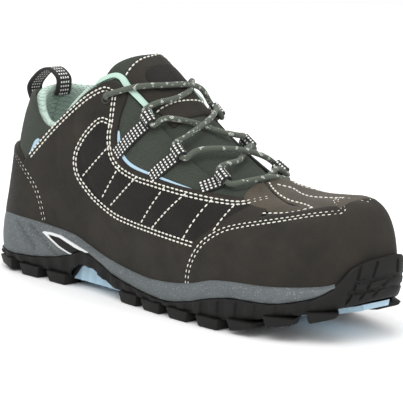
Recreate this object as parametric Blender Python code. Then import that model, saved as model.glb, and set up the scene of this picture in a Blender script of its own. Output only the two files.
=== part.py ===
# Safety sneaker, right shoe, shaped on its last: +X to the toe, +Y to the medial side, +Z up, in metres
import math

import bmesh
import bpy
from mathutils import Vector

# Driving dimensions of the last and of the sole
LAST_LENGTH = 0.274
BALL_WIDTH = 0.091
COLLAR_HEIGHT = 0.105
INSTEP_HEIGHT = COLLAR_HEIGHT * 0.9286
SOLE_HEIGHT = 0.032
HEEL_LEAN = LAST_LENGTH * 0.0456
HEEL_ROUND = LAST_LENGTH * 0.1314
HEEL_ROUND_POWER = 2.2
TOE_ROUND = LAST_LENGTH * 0.2409
TOE_ROUND_POWER = 2.25
MEDIAL_TOE_ROUND = LAST_LENGTH * 0.3467
MEDIAL_TOE_POWER = 2.05
MEDIAL_CORNER = 0.86
TOE_DROP = LAST_LENGTH * 0.1095
TOE_DROP_POWER = 2.5
SIDE_BULGE = 0.0012

# Walls, thicknesses and clearances
CLEARANCE = 0.0003
UPPER_WALL = 0.0024
LEATHER = 0.0013
LINING_PAD = 0.0055
TONGUE_PAD = 0.0055
TONGUE_GAP = 0.0005
INSOLE_THICK = 0.004
INSOLE_INSET = 0.0005
LINING_ROLL = 0.0022
PATCH_THICK = 0.0010
PATCH_HALF_WIDTH = 0.020
PATCH_INSET = 0.0028

# Sole side: how far each course stands out from the last
RIM_OUT = 0.0030
MIDSOLE_OUT = 0.0052
OUTSOLE_OUT = 0.0056
BODY_BOTTOM_OUT = 0.0026
BODY_BOTTOM_RISE = SOLE_HEIGHT * 0.069
BODY_STEP = 0.0008
MIDSOLE_FOOT_STEP = 0.0016
MIDSOLE_TOP_STEP = 0.0006
GROOVE_REACH = 0.004
HEEL_FLUSH = 0.5
HEEL_FLUSH_TO = 0.15
MIDSOLE_END = 0.975
GROOVE_WIDTH = 0.0016
GROOVE_DEPTH = 0.0012
TRIM_THICK = 0.0009
RIB_WIDTH = 0.0013
GROOVE_CLEAR = 0.004

# Lugs of the tread
LUG_LENGTH = LAST_LENGTH * 0.0639
LUG_WIDTH = BALL_WIDTH * 0.1648
LUG_TAPER = 0.78
LUG_SIDE_TAPER = 0.85
LUG_OUT = 0.0010
LUG_ROOT = 0.0010
EDGE_STEP = 0.02

# Webbing and lace
WEBBING_WIDTH = 0.0080
WEBBING_THICK = 0.0012
STRAP_LIFT = 0.0008 + WEBBING_THICK / 2
LACE_RADIUS = 0.0016
LACE_PLAY = 0.0007
LACE_STRAIGHT = (-0.0075, -0.0025, 0.0025, 0.0075)
LACE_LIFT = CLEARANCE * 3 + LEATHER + LACE_RADIUS
LACE_SAG = 0.0032
CROSSING = (0.26, 0.38, 0.50, 0.62, 0.74)
LAST_CROSSING = CROSSING + (0.83, 0.92)
LOOP_STEPS = 6
LOOP_TURNS = (-90, -60, -30, 0, 30, 60, 90, 120, 150, 180, 205)
PULL_WIDTH = 0.0115
PULL_THICK = 0.0018
EYELET_RADIUS = 0.0023
EYELET_SIDES = 12

# How finely the solids are faceted
HEEL_STEPS = 5
MIDDLE_STEPS = 10
TOE_STEPS = 5
ARCH_ANGLES = (0, 8, 17, 27, 40, 55, 72, 90, 108, 125, 140, 153, 163, 172, 180)
OUTLINE_STEPS = 2
CORE_DROP = SOLE_HEIGHT * 0.625

# Sections of the last. share: along the length from heel to toe. lateral, medial: half widths,
# and swing: sideways shift of the middle, as shares of BALL_WIDTH. seat: bottom edge of the upper
# as a share of SOLE_HEIGHT. ridge: top of the section as a share of INSTEP_HEIGHT. square: corner power,
# which MEDIAL_CORNER makes less on the medial side, most of all in the middle of the length
LAST = [
    dict(share=0.000, lateral=0.340, medial=0.340, swing=0.000, seat=0.810, ridge=1.83, square=3.2),
    dict(share=0.077, lateral=0.352, medial=0.346, swing=0.000, seat=0.810, ridge=1.73, square=3.2),
    dict(share=0.150, lateral=0.363, medial=0.352, swing=0.000, seat=0.805, ridge=1.63, square=3.2),
    dict(share=0.223, lateral=0.368, medial=0.346, swing=0.000, seat=0.794, ridge=1.54, square=3.2),
    dict(share=0.296, lateral=0.379, medial=0.332, swing=0.000, seat=0.773, ridge=1.46, square=3.1),
    dict(share=0.369, lateral=0.396, medial=0.315, swing=0.000, seat=0.670, ridge=1.37, square=3.0),
    dict(share=0.423, lateral=0.412, medial=0.312, swing=0.000, seat=0.545, ridge=1.27, square=3.0),
    dict(share=0.478, lateral=0.434, medial=0.322, swing=0.000, seat=0.470, ridge=1.15, square=2.9),
    dict(share=0.551, lateral=0.473, medial=0.352, swing=0.002, seat=0.430, ridge=1.00, square=2.7),
    dict(share=0.624, lateral=0.505, medial=0.392, swing=0.008, seat=0.425, ridge=0.868, square=2.5),
    dict(share=0.690, lateral=0.522, medial=0.412, swing=0.014, seat=0.465, ridge=0.780, square=2.25),
    dict(share=0.752, lateral=0.531, medial=0.416, swing=0.022, seat=0.535, ridge=0.738, square=2.2),
    dict(share=0.825, lateral=0.531, medial=0.400, swing=0.033, seat=0.605, ridge=0.718, square=2.3),
    dict(share=0.880, lateral=0.527, medial=0.372, swing=0.044, seat=0.675, ridge=0.728, square=2.5),
    dict(share=0.934, lateral=0.516, medial=0.338, swing=0.050, seat=0.770, ridge=0.745, square=2.6),
    dict(share=1.000, lateral=0.500, medial=0.298, swing=0.055, seat=0.905, ridge=0.770, square=2.6),
]

# How the back of the heel leans. height: share of COLLAR_HEIGHT. lean: share of HEEL_LEAN
BACK_LEAN = [
    dict(height=0.19, lean=-0.12),
    dict(height=0.30, lean=-0.08),
    dict(height=0.43, lean=0.16),
    dict(height=0.57, lean=0.40),
    dict(height=0.71, lean=0.58),
    dict(height=0.86, lean=0.92),
    dict(height=0.98, lean=1.36),
    dict(height=1.14, lean=1.90),
]
LEAN_FADES_AT = 0.40

# Lines of the sole seen from the side. share: along the last. rim, split, body: heights of the cup's
# rim, of the joint between midsole and outsole and of the underside, as shares of SOLE_HEIGHT
SOLE_LINES = [
    dict(share=-0.015, rim=1.060, split=0.312, body=0.270),
    dict(share=0.077, rim=1.047, split=0.320, body=0.225),
    dict(share=0.157, rim=1.020, split=0.356, body=0.190),
    dict(share=0.215, rim=0.985, split=0.415, body=0.180),
    dict(share=0.288, rim=0.930, split=0.562, body=0.172),
    dict(share=0.332, rim=0.826, split=0.697, body=0.172),
    dict(share=0.383, rim=0.695, split=0.569, body=0.172),
    dict(share=0.423, rim=0.625, split=0.431, body=0.172),
    dict(share=0.480, rim=0.560, split=0.335, body=0.172),
    dict(share=0.533, rim=0.534, split=0.285, body=0.165),
    dict(share=0.588, rim=0.562, split=0.256, body=0.163),
    dict(share=0.650, rim=0.637, split=0.340, body=0.163),
    dict(share=0.723, rim=0.800, split=0.512, body=0.163),
    dict(share=0.777, rim=0.845, split=0.591, body=0.205),
    dict(share=0.847, rim=0.870, split=0.605, body=0.344),
    dict(share=0.938, rim=0.950, split=0.759, body=0.519),
    dict(share=0.975, rim=1.130, split=0.920, body=0.635),
    dict(share=1.000, rim=1.390, split=1.000, body=0.730),
    dict(share=1.026, rim=1.520, split=1.100, body=0.830),
]

# Underside of the lugs. share: along the last. height: share of SOLE_HEIGHT
LUG_LINE = [
    dict(share=-0.015, height=0.150),
    dict(share=0.060, height=0.075),
    dict(share=0.135, height=0.000),
    dict(share=0.734, height=0.000),
    dict(share=0.785, height=0.056),
    dict(share=0.847, height=0.188),
    dict(share=0.942, height=0.362),
    dict(share=1.036, height=0.688),
]

# Outlines seen from the side. share: along the last. height: share of COLLAR_HEIGHT
TOPLINE = [
    dict(share=-0.090, height=0.990),
    dict(share=0.051, height=1.000),
    dict(share=0.084, height=1.005),
    dict(share=0.113, height=0.975),
    dict(share=0.139, height=0.900),
    dict(share=0.164, height=0.848),
    dict(share=0.190, height=0.840),
    dict(share=0.215, height=0.886),
    dict(share=0.252, height=0.990),
    dict(share=0.299, height=1.095),
    dict(share=0.343, height=1.155),
    dict(share=0.365, height=1.155),
    dict(share=0.390, height=1.110),
    dict(share=0.427, height=1.055),
    dict(share=0.467, height=0.990),
    dict(share=0.522, height=0.900),
    dict(share=0.577, height=0.810),
    dict(share=0.631, height=0.740),
    dict(share=0.675, height=0.695),
    dict(share=0.700, height=0.692),
    dict(share=0.715, height=0.760),
]
QUARTER_EDGE = [
    dict(share=0.105, height=0.600),
    dict(share=0.150, height=0.725),
    dict(share=0.190, height=0.820),
    dict(share=0.245, height=0.955),
    dict(share=0.299, height=1.075),
    dict(share=0.343, height=1.135),
    dict(share=0.366, height=1.130),
    dict(share=0.386, height=1.070),
    dict(share=0.381, height=0.930),
    dict(share=0.378, height=0.830),
    dict(share=0.386, height=0.755),
    dict(share=0.408, height=0.708),
    dict(share=0.442, height=0.676),
    dict(share=0.522, height=0.654),
    dict(share=0.588, height=0.643),
    dict(share=0.661, height=0.640),
    dict(share=0.705, height=0.628),
    dict(share=0.745, height=0.610),
    dict(share=0.790, height=0.600),
]
CAP_EDGE = [
    dict(share=0.642, height=0.100),
    dict(share=0.642, height=0.248),
    dict(share=0.650, height=0.305),
    dict(share=0.661, height=0.371),
    dict(share=0.682, height=0.440),
    dict(share=0.715, height=0.515),
    dict(share=0.763, height=0.562),
    dict(share=0.847, height=0.624),
    dict(share=0.915, height=0.672),
    dict(share=0.932, height=0.688),
    dict(share=0.936, height=0.860),
]
COUNTER_EDGE = [
    dict(share=0.040, height=0.690),
    dict(share=0.077, height=0.655),
    dict(share=0.102, height=0.595),
    dict(share=0.128, height=0.552),
    dict(share=0.157, height=0.495),
    dict(share=0.175, height=0.419),
    dict(share=0.186, height=0.352),
    dict(share=0.200, height=0.220),
]
SADDLE_EDGE = [
    dict(share=0.718, height=0.860),
    dict(share=0.714, height=0.700),
    dict(share=0.722, height=0.645),
    dict(share=0.745, height=0.622),
    dict(share=0.776, height=0.608),
    dict(share=0.806, height=0.606),
]
TONGUE_TOP = [
    dict(share=0.322, height=1.060),
    dict(share=0.320, height=1.130),
    dict(share=0.332, height=1.200),
    dict(share=0.354, height=1.246),
    dict(share=0.380, height=1.277),
    dict(share=0.412, height=1.290),
]
TONGUE_FOOT = [
    dict(share=0.735, height=0.500),
    dict(share=0.690, height=0.560),
    dict(share=0.624, height=0.610),
    dict(share=0.551, height=0.690),
    dict(share=0.467, height=0.830),
    dict(share=0.400, height=0.930),
    dict(share=0.345, height=1.000),
]

# Outlines on the side of the sole. share: along the last. height: share of SOLE_HEIGHT
ARCH_GAP = [
    dict(share=0.285, height=-0.197),
    dict(share=0.286, height=0.092),
    dict(share=0.291, height=0.246),
    dict(share=0.300, height=0.338),
    dict(share=0.319, height=0.440),
    dict(share=0.341, height=0.476),
    dict(share=0.365, height=0.436),
    dict(share=0.398, height=0.322),
    dict(share=0.438, height=0.164),
    dict(share=0.455, height=-0.197),
]
WINDOW = [
    dict(share=0.198, height=0.873),
    dict(share=0.325, height=0.748),
    dict(share=0.322, height=0.709),
    dict(share=0.280, height=0.623),
    dict(share=0.215, height=0.787),
]
HEEL_GROOVES = [
    dict(share=0.086, height=0.990, end_share=0.168, end_height=0.520),
    dict(share=0.128, height=0.985, end_share=0.243, end_height=0.440),
]

# Lug places. share: along the last
SIDE_LUGS = [0.093, 0.177, 0.258, 0.480, 0.553, 0.632, 0.713, 0.793, 0.870, 0.940]
INNER_LUGS = [
    dict(share=0.012, across=0.0, turn=90),
    dict(share=0.075, across=0.0, turn=0),
    dict(share=0.150, across=0.0, turn=0),
    dict(share=0.225, across=0.0, turn=0),
    dict(share=0.520, across=-0.13, turn=24),
    dict(share=0.520, across=0.14, turn=-24),
    dict(share=0.605, across=-0.15, turn=24),
    dict(share=0.605, across=0.15, turn=-24),
    dict(share=0.690, across=-0.16, turn=24),
    dict(share=0.690, across=0.18, turn=-24),
]
INNER_LUG_LENGTH = LAST_LENGTH * 0.0474
INNER_LUG_WIDTH = BALL_WIDTH * 0.1868

# Ribs of the toe bumper. level: between the joint (0) and the rim (1). out: how far its face stands out
BUMPER_RIBS = [
    dict(level=0.40, start=0.870, out=0.0052),
]
BUMPER_CUTS = [
    dict(share=0.920, side=-1),
    dict(share=0.975, side=-1),
    dict(share=0.975, side=1),
    dict(share=0.920, side=1),
]

# Blue block under the forefoot. half: half width, as a share of BALL_WIDTH
INSERT_PLAN = [
    dict(share=0.765, half=0.160),
    dict(share=0.875, half=0.185),
    dict(share=0.965, half=0.120),
]
INSERT_FROM = INSERT_PLAN[0]["share"]
INSERT_TO = INSERT_PLAN[-1]["share"]
INSERT_TAPER = 0.92
INSERT_THICK = 0.0030
PLATE_HALF_WIDTH = 0.026
PLATE_BOTTOM = 0.0042

# Lace loops of webbing, from their root to the throat edge. heights: shares of COLLAR_HEIGHT
LACE_LOOPS = [
    dict(share=0.405, height=0.765, top_share=0.4725, top_height=0.954),
    dict(share=0.513, height=0.682, top_share=0.560, top_height=0.809),
    dict(share=0.632, height=0.664, top_share=0.659, top_height=0.702),
]
TOP_EYELET = dict(share=0.352, height=1.040)
LACE_SLOT = dict(share=0.712, angle=76)

# Pull loop in the plane of the heel's middle, from the back of the heel over the collar.
# share: along the last. height: share of COLLAR_HEIGHT
PULL_PATH = [
    dict(share=0.0348, height=0.800),
    dict(share=0.0345, height=0.835),
    dict(share=0.0300, height=0.880),
    dict(share=0.0146, height=0.935),
    dict(share=0.0084, height=0.988),
    dict(share=0.0220, height=1.040),
    dict(share=0.0467, height=1.090),
    dict(share=0.0730, height=1.105),
    dict(share=0.0985, height=1.065),
    dict(share=0.1005, height=1.010),
    dict(share=0.0957, height=0.965),
]

# Colours and finishes
MATERIALS = {
    "textile": ((0.075, 0.085, 0.072), 0.92, 0.0),
    "leather": ((0.050, 0.043, 0.036), 0.62, 0.0),
    "saddle_leather": ((0.105, 0.090, 0.070), 0.68, 0.0),
    "lining": ((0.44, 0.62, 0.52), 0.95, 0.0),
    "midsole_foam": ((0.115, 0.130, 0.136), 0.60, 0.0),
    "black_rubber": ((0.012, 0.011, 0.011), 0.55, 0.0),
    "blue_rubber": ((0.42, 0.60, 0.74), 0.50, 0.0),
    "silver_trim": ((0.72, 0.74, 0.74), 0.35, 0.0),
    "webbing": ((0.020, 0.020, 0.020), 0.85, 0.0),
    "lace": ((0.090, 0.105, 0.085), 0.90, 0.0),
    "insole_foam": ((0.060, 0.065, 0.062), 0.90, 0.0),
}


def clear_scene():
    for item in list(bpy.data.objects):
        bpy.data.objects.remove(item, do_unlink=True)


clear_scene()
PARTS = bpy.data.collections.new("safety_sneaker")
CUTTERS = bpy.data.collections.new("cutters")
bpy.context.scene.collection.children.link(PARTS)
bpy.context.scene.collection.children.link(CUTTERS)


def material(name):
    found = bpy.data.materials.get(name)
    if found:
        return found
    colour, roughness, metallic = MATERIALS[name]
    made = bpy.data.materials.new(name)
    made.use_nodes = True
    shader = made.node_tree.nodes["Principled BSDF"]
    shader.inputs["Base Color"].default_value = (*colour, 1.0)
    shader.inputs["Roughness"].default_value = roughness
    shader.inputs["Metallic"].default_value = metallic
    return made


def smooth(table, key, column, at):
    """Value of a table's column between its rows, on a curve without corners."""
    spots = [row[key] for row in table]
    values = [row[column] for row in table]
    at = min(max(at, spots[0]), spots[-1])
    slopes = [(values[i + 1] - values[i]) / (spots[i + 1] - spots[i]) for i in range(len(spots) - 1)]
    tangents = [slopes[0]]
    for before, after in zip(slopes, slopes[1:]):
        tangents.append(2 * before * after / (before + after) if before * after > 0 else 0.0)
    tangents.append(slopes[-1])
    i = 0
    while i < len(spots) - 2 and at > spots[i + 1]:
        i += 1
    span = spots[i + 1] - spots[i]
    t = (at - spots[i]) / span
    return (
        (2 * t**3 - 3 * t**2 + 1) * values[i]
        + (t**3 - 2 * t**2 + t) * span * tangents[i]
        + (3 * t**2 - 2 * t**3) * values[i + 1]
        + (t**3 - t**2) * span * tangents[i + 1]
    )


def round_off(distance, zone, power):
    """Share of the full size at a distance from an end that is rounded over a zone."""
    u = min(max(1 - distance / zone, 0.0), 1.0)
    return (1 - u**power) ** (1 / power)


def length_at(share, grow):
    return -grow + share * (LAST_LENGTH + 2 * grow)


def lean_at(share, height):
    fade = min(max(1 - share / LEAN_FADES_AT, 0.0), 1.0) ** 1.5
    return HEEL_LEAN * smooth(BACK_LEAN, "height", "lean", height / COLLAR_HEIGHT) * fade


def plan_at(share, grow, side):
    """Share of the full width that is left near the rounded heel and toe."""
    along = share * (LAST_LENGTH + 2 * grow)
    ahead = LAST_LENGTH + 2 * grow - along
    back = round_off(along, HEEL_ROUND, HEEL_ROUND_POWER)
    if side < 0:
        return back * round_off(ahead, TOE_ROUND, TOE_ROUND_POWER)
    return back * round_off(ahead, MEDIAL_TOE_ROUND, MEDIAL_TOE_POWER)


def sole_grow(share, grow):
    """How far the sole stands out from the last: less at the back of the heel."""
    if grow <= 0:
        return grow
    return grow * (HEEL_FLUSH + (1 - HEEL_FLUSH) * min(max(share / HEEL_FLUSH_TO, 0.0), 1.0))


def edge_point(share, side, grow, height):
    """Point on the sole's outline, at a side (-1 lateral, 1 medial) and a height."""
    key = "lateral" if side < 0 else "medial"
    grow = sole_grow(share, grow)
    half = smooth(LAST, "share", key, share) * BALL_WIDTH + grow
    swing = smooth(LAST, "share", "swing", share) * BALL_WIDTH
    x = length_at(share, grow) + lean_at(share, height)
    return Vector((x, swing + side * half * plan_at(share, grow, side), height))


def last_point(share, angle, grow):
    """Point on the last: angle 0 is the lateral bottom edge, 90 the ridge, 180 the medial bottom edge."""
    side = -1 if angle <= 90 else 1
    turn = math.radians(angle if side < 0 else 180 - angle)
    key = "lateral" if side < 0 else "medial"
    power = smooth(LAST, "share", "square", share)
    if side > 0:
        power *= 1 - (1 - MEDIAL_CORNER) * math.sin(math.pi * share)
    seat = smooth(LAST, "share", "seat", share) * SOLE_HEIGHT - grow
    ridge = smooth(LAST, "share", "ridge", share) * INSTEP_HEIGHT + grow
    to_toe = (1 - share) * (LAST_LENGTH + 2 * grow)
    high = round_off(to_toe, TOE_DROP, TOE_DROP_POWER)
    plan = plan_at(share, grow, side)
    half = (smooth(LAST, "share", key, share) * BALL_WIDTH + grow) * plan
    cosine = max(math.cos(turn), 0.0)
    sine = math.sin(turn)
    radius = (cosine**power + sine**power) ** (-1 / power)
    out = half * radius * cosine + SIDE_BULGE * plan * high * math.sin(2 * turn)
    height = seat + (ridge - seat) * high * radius * sine
    swing = smooth(LAST, "share", "swing", share) * BALL_WIDTH
    return Vector((length_at(share, grow) + lean_at(share, height), swing + side * out, height))


def normal_at(share, angle):
    """Direction straight out of the last's surface."""
    along = last_point(share + 0.004, angle, 0.0) - last_point(share - 0.004, angle, 0.0)
    round_it = last_point(share, angle + 1, 0.0) - last_point(share, angle - 1, 0.0)
    return along.cross(round_it).normalized()


def angle_at(share, height, side, grow=0.0):
    """Angle on one side of the last where its surface has a height."""
    low, high = (0.0, 90.0) if side < 0 else (180.0, 90.0)
    for _ in range(30):
        middle = (low + high) / 2
        if last_point(share, middle, grow).z < height:
            low = middle
        else:
            high = middle
    return (low + high) / 2


def stations():
    """Shares along the last, closer together where heel and toe are rounded."""
    back = HEEL_ROUND / LAST_LENGTH
    front = TOE_ROUND / LAST_LENGTH
    heel = [back * (1 - math.cos(math.pi / 2 * i / HEEL_STEPS)) for i in range(HEEL_STEPS)]
    middle = [back + (1 - front - back) * i / MIDDLE_STEPS for i in range(MIDDLE_STEPS)]
    toe = [1 - front * (1 - math.sin(math.pi / 2 * i / TOE_STEPS)) for i in range(TOE_STEPS + 1)]
    return heel + middle + toe


STATIONS = stations()


def store(name, mesh, finish=None):
    """Object from a mesh: a piece where it has a finish, otherwise a cutter."""
    item = bpy.data.objects.new(name, mesh)
    if finish:
        mesh.materials.append(material(finish))
        PARTS.objects.link(item)
    else:
        CUTTERS.objects.link(item)
        item.hide_render = True
        item.display_type = "WIRE"
    return item


def mesh_from(name, shape):
    """Mesh of a closed shape with its faces pointing out."""
    bmesh.ops.remove_doubles(shape, verts=shape.verts, dist=0.000002)
    bmesh.ops.recalc_face_normals(shape, faces=shape.faces)
    if shape.calc_volume(signed=True) < 0:
        bmesh.ops.reverse_faces(shape, faces=shape.faces)
    mesh = bpy.data.meshes.new(name)
    shape.to_mesh(mesh)
    shape.free()
    return mesh


def loft(name, rings, finish=None, ends=False):
    """Closed solid through rings of points that match one another."""
    shape = bmesh.new()
    rows = [[shape.verts.new(point) for point in ring] for ring in rings]
    count = len(rings[0])
    for first, second in zip(rows, rows[1:]):
        for i in range(count):
            j = (i + 1) % count
            shape.faces.new((first[i], first[j], second[j]))
            shape.faces.new((first[i], second[j], second[i]))
    if ends:
        shape.faces.new(rows[0])
        shape.faces.new(list(reversed(rows[-1])))
    return store(name, mesh_from(name, shape), finish)


def last_form(name, grow, drop=0.0, finish=None):
    """The last as a closed solid, grown all round and, with drop, let down below its bottom."""
    rings = []
    for share in STATIONS:
        ring = [last_point(share, angle, grow) for angle in ARCH_ANGLES]
        if drop:
            ring.insert(0, ring[0] - Vector((0, 0, drop)))
            ring.append(ring[-1] - Vector((0, 0, drop)))
        rings.append(ring)
    return loft(name, rings, finish)


def sole_line(share, column):
    return smooth(SOLE_LINES, "share", column, share) * SOLE_HEIGHT


def sole_form(name, rows, finish=None, extra=0.0):
    """Solid inside the sole's outline: each row gives how far it stands out and its height at a share."""
    rings = []
    for share in STATIONS:
        lateral = [edge_point(share, -1, out + extra, height(share)) for out, height in rows]
        medial = [edge_point(share, 1, out + extra, height(share)) for out, height in rows]
        rings.append(lateral + medial[::-1])
    return loft(name, rings, finish)


def curve_through(points, steps=OUTLINE_STEPS):
    """Points on a smooth curve through some points."""
    padded = [points[0] * 2 - points[1], *points, points[-1] * 2 - points[-2]]
    found = []
    for i in range(1, len(padded) - 2):
        a, b, c, d = padded[i - 1 : i + 3]
        for j in range(steps):
            t = j / steps
            found.append(
                (b * 2 + (c - a) * t + (a * 2 - b * 5 + c * 4 - d) * t**2 + (b * 3 - a - c * 3 + d) * t**3) / 2
            )
    found.append(points[-1])
    return found


def side_points(table, steps=OUTLINE_STEPS):
    """A side-view table as a smooth line of (x, z)."""
    places = [Vector((row["share"] * LAST_LENGTH, row["height"] * COLLAR_HEIGHT)) for row in table]
    return curve_through(places, steps)


def corner(share, height):
    return Vector((share * LAST_LENGTH, height * COLLAR_HEIGHT))


def sole_corner(share, height):
    return Vector((share * LAST_LENGTH, height * SOLE_HEIGHT))


def arch_points():
    return curve_through([sole_corner(**row) for row in ARCH_GAP])


def prism(name, outline, low=-BALL_WIDTH, high=BALL_WIDTH, finish=None):
    """Solid of a side-view outline between two places across the shoe."""
    rings = [[Vector((p.x, y, p.y)) for p in outline] for y in (low, high)]
    return loft(name, rings, finish, ends=True)


def boolean(piece, tool, operation="DIFFERENCE"):
    change = piece.modifiers.new(tool.name, "BOOLEAN")
    change.operation = operation
    change.object = tool
    change.solver = "EXACT"
    return piece


def beside(points, distance):
    """A side-view line moved to its left by a distance."""
    found = []
    for i, point in enumerate(points):
        run = points[min(i + 1, len(points) - 1)] - points[max(i - 1, 0)]
        found.append(point + Vector((-run.y, run.x)).normalized() * distance)
    return found


def shares_between(start, end):
    """Both ends and the stations between them, in either direction."""
    low, high = min(start, end), max(start, end)
    inside = [share for share in STATIONS if low + 0.004 < share < high - 0.004]
    return [start, *(inside if start < end else inside[::-1]), end]


def rim_line(start, end, rise):
    """Side-view line along the cup's rim."""
    shares = shares_between(start, end)
    places = [length_at(s, sole_grow(s, RIM_OUT)) + lean_at(s, SOLE_HEIGHT) for s in shares]
    return [Vector((x, sole_line(s, "rim") + rise)) for x, s in zip(places, shares)]


# Sole


def bottom_rows():
    return [
        (BODY_BOTTOM_OUT, lambda s: sole_line(s, "body")),
        (OUTSOLE_OUT - BODY_STEP, lambda s: sole_line(s, "body") + BODY_BOTTOM_RISE),
        (OUTSOLE_OUT, lambda s: (sole_line(s, "body") + sole_line(s, "split") + BODY_BOTTOM_RISE) / 2),
    ]


def outsole_rows():
    return bottom_rows() + [
        (OUTSOLE_OUT - BODY_STEP, lambda s: (sole_line(s, "split") + sole_line(s, "rim")) / 2),
        (RIM_OUT, lambda s: sole_line(s, "rim")),
    ]


def midsole_rows():
    def between(part):
        return lambda s: sole_line(s, "split") * (1 - part) + sole_line(s, "rim") * part

    return [
        (MIDSOLE_OUT - MIDSOLE_FOOT_STEP, between(-0.3)),
        (MIDSOLE_OUT - MIDSOLE_FOOT_STEP / 2, between(0.0)),
        (MIDSOLE_OUT, between(0.35)),
        (MIDSOLE_OUT - MIDSOLE_TOP_STEP, between(0.72)),
        (RIM_OUT, between(1.0)),
    ]


def midsole_zone(name, shift):
    """Side-view zone above the joint of midsole and outsole and behind the toe bumper."""
    shares = shares_between(-0.03, MIDSOLE_END)
    line = [Vector((s * LAST_LENGTH, sole_line(s, "split") + shift)) for s in shares]
    line[-1].x -= shift
    above = line[-1] + Vector((LAST_LENGTH * 0.015, COLLAR_HEIGHT))
    return prism(name, [*line, above, corner(-0.2, 1.0), corner(-0.2, 0.1)])


def edge_frame(share, side, grow, height):
    """Point on the sole's outline with the level directions along it and inward."""
    ahead = edge_point(min(share + EDGE_STEP, 1.0), side, grow, height)
    behind = edge_point(max(share - EDGE_STEP, 0.0), side, grow, height)
    run = ahead - behind
    run.z = 0.0
    run.normalize()
    return edge_point(share, side, grow, height), run, Vector((run.y, -run.x, 0)) * side


def lug_foot(x):
    """Height of the lugs' underside at a place along the shoe."""
    share = min(max(x / LAST_LENGTH, LUG_LINE[0]["share"]), LUG_LINE[-1]["share"])
    return smooth(LUG_LINE, "share", "height", share) * SOLE_HEIGHT


def lug(name, share, side, across=0.0, turn=0.0, length=LUG_LENGTH, width=LUG_WIDTH, more=0.0):
    """A tapered block under the sole, along its edge or inside it, grown all round by more."""
    top = sole_line(share, "body") + LUG_ROOT
    if side:
        edge, run, inward = edge_frame(share, side, OUTSOLE_OUT + LUG_OUT, top)
        middle = edge + inward * width / 2
    else:
        swing = smooth(LAST, "share", "swing", share) * BALL_WIDTH
        middle = Vector((share * LAST_LENGTH, swing + across * BALL_WIDTH, top))
        run = Vector((math.cos(math.radians(turn)), math.sin(math.radians(turn)), 0))
        inward = Vector((-run.y, run.x, 0))
    rings = []
    for along, aside in ((1.0, 1.0), (LUG_TAPER, LUG_SIDE_TAPER)):
        reach = run * (length * along / 2 + more)
        wide = inward * (width * aside / 2 + more)
        rings.append([middle - reach - wide, middle + reach - wide, middle + reach + wide, middle - reach + wide])
    for point in rings[1]:
        point.z = lug_foot(point.x) - more
    return loft(name, rings, ends=True)


def cut_bumper_ribs(outsole):
    """Grooves that divide the toe bumper: one along it and several from its top to its foot."""

    def groove_row(share, side, out, height, wide):
        inner, _, _ = edge_frame(share, side, out - GROOVE_DEPTH, height)
        outer, _, _ = edge_frame(share, side, out + GROOVE_CLEAR, height)
        return [inner - wide, inner + wide, outer + wide, outer - wide]

    def level_row(share, side, rib):
        height = sole_line(share, "split") * (1 - rib["level"]) + sole_line(share, "rim") * rib["level"]
        return groove_row(share, side, rib["out"], height, Vector((0, 0, RIB_WIDTH / 2)))

    for i, rib in enumerate(BUMPER_RIBS):
        shares = shares_between(rib["start"], 1.0)
        rings = [level_row(share, -1, rib) for share in shares]
        rings += [level_row(share, 1, rib) for share in shares[-2::-1]]
        boolean(outsole, loft(f"cut_rib_{i}", rings, ends=True))
    for i, place in enumerate(BUMPER_CUTS):
        _, run, _ = edge_frame(place["share"], place["side"], OUTSOLE_OUT, 0.0)
        rows = [(out, height(place["share"])) for out, height in outsole_rows()[2:]]
        wide = run * RIB_WIDTH / 2
        rings = [groove_row(place["share"], place["side"], out, height, wide) for out, height in rows]
        boolean(outsole, loft(f"cut_bumper_{i}", rings, ends=True))


def make_sole():
    cavity = last_form("cut_last", CLEARANCE)
    outsole = sole_form("outsole", outsole_rows(), "black_rubber")
    boolean(outsole, midsole_zone("cut_midsole_zone", -CLEARANCE / 2))
    boolean(outsole, cavity)
    boolean(outsole, prism("cut_arch", arch_points()))
    cut_bumper_ribs(outsole)
    for side, word in ((-1, "lateral"), (1, "medial")):
        for i, share in enumerate(SIDE_LUGS):
            boolean(outsole, lug(f"lug_{word}_{i}", share, side), "UNION")
    for i, row in enumerate(INNER_LUGS):
        block = lug(f"lug_inner_{i}", row["share"], 0, row["across"], row["turn"], INNER_LUG_LENGTH, INNER_LUG_WIDTH)
        boolean(outsole, block, "UNION")
    midsole = sole_form("midsole", midsole_rows(), "midsole_foam")
    boolean(midsole, midsole_zone("keep_midsole_zone", CLEARANCE / 2), "INTERSECT")
    boolean(midsole, cavity)
    make_heel_grooves(midsole)
    make_windows()
    make_arch_plate()
    make_tread_insert()


def make_heel_grooves(midsole):
    for i, row in enumerate(HEEL_GROOVES):
        start = sole_corner(row["share"], row["height"])
        end = sole_corner(row["end_share"], row["end_height"])
        across = (end - start).orthogonal().normalized() * GROOVE_WIDTH / 2
        outline = [start - across, start + across, end + across, end - across]
        groove = sole_form(f"cut_groove_{i}", midsole_rows(), extra=GROOVE_REACH)
        boolean(groove, sole_form(f"keep_groove_core_{i}", midsole_rows(), extra=-GROOVE_DEPTH))
        boolean(groove, prism(f"keep_groove_{i}", outline), "INTERSECT")
        boolean(midsole, groove)


def make_windows():
    """Wedge-shaped trims that lie on the sides of the midsole."""
    for word, low, high in (("lateral", -BALL_WIDTH, 0.0), ("medial", 0.0, BALL_WIDTH)):
        trim = sole_form(f"side_window_{word}", midsole_rows(), "silver_trim", CLEARANCE + TRIM_THICK)
        boolean(trim, sole_form(f"cut_window_{word}", midsole_rows(), extra=CLEARANCE))
        boolean(trim, prism(f"keep_window_{word}", [sole_corner(**row) for row in WINDOW], low, high), "INTERSECT")


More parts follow.
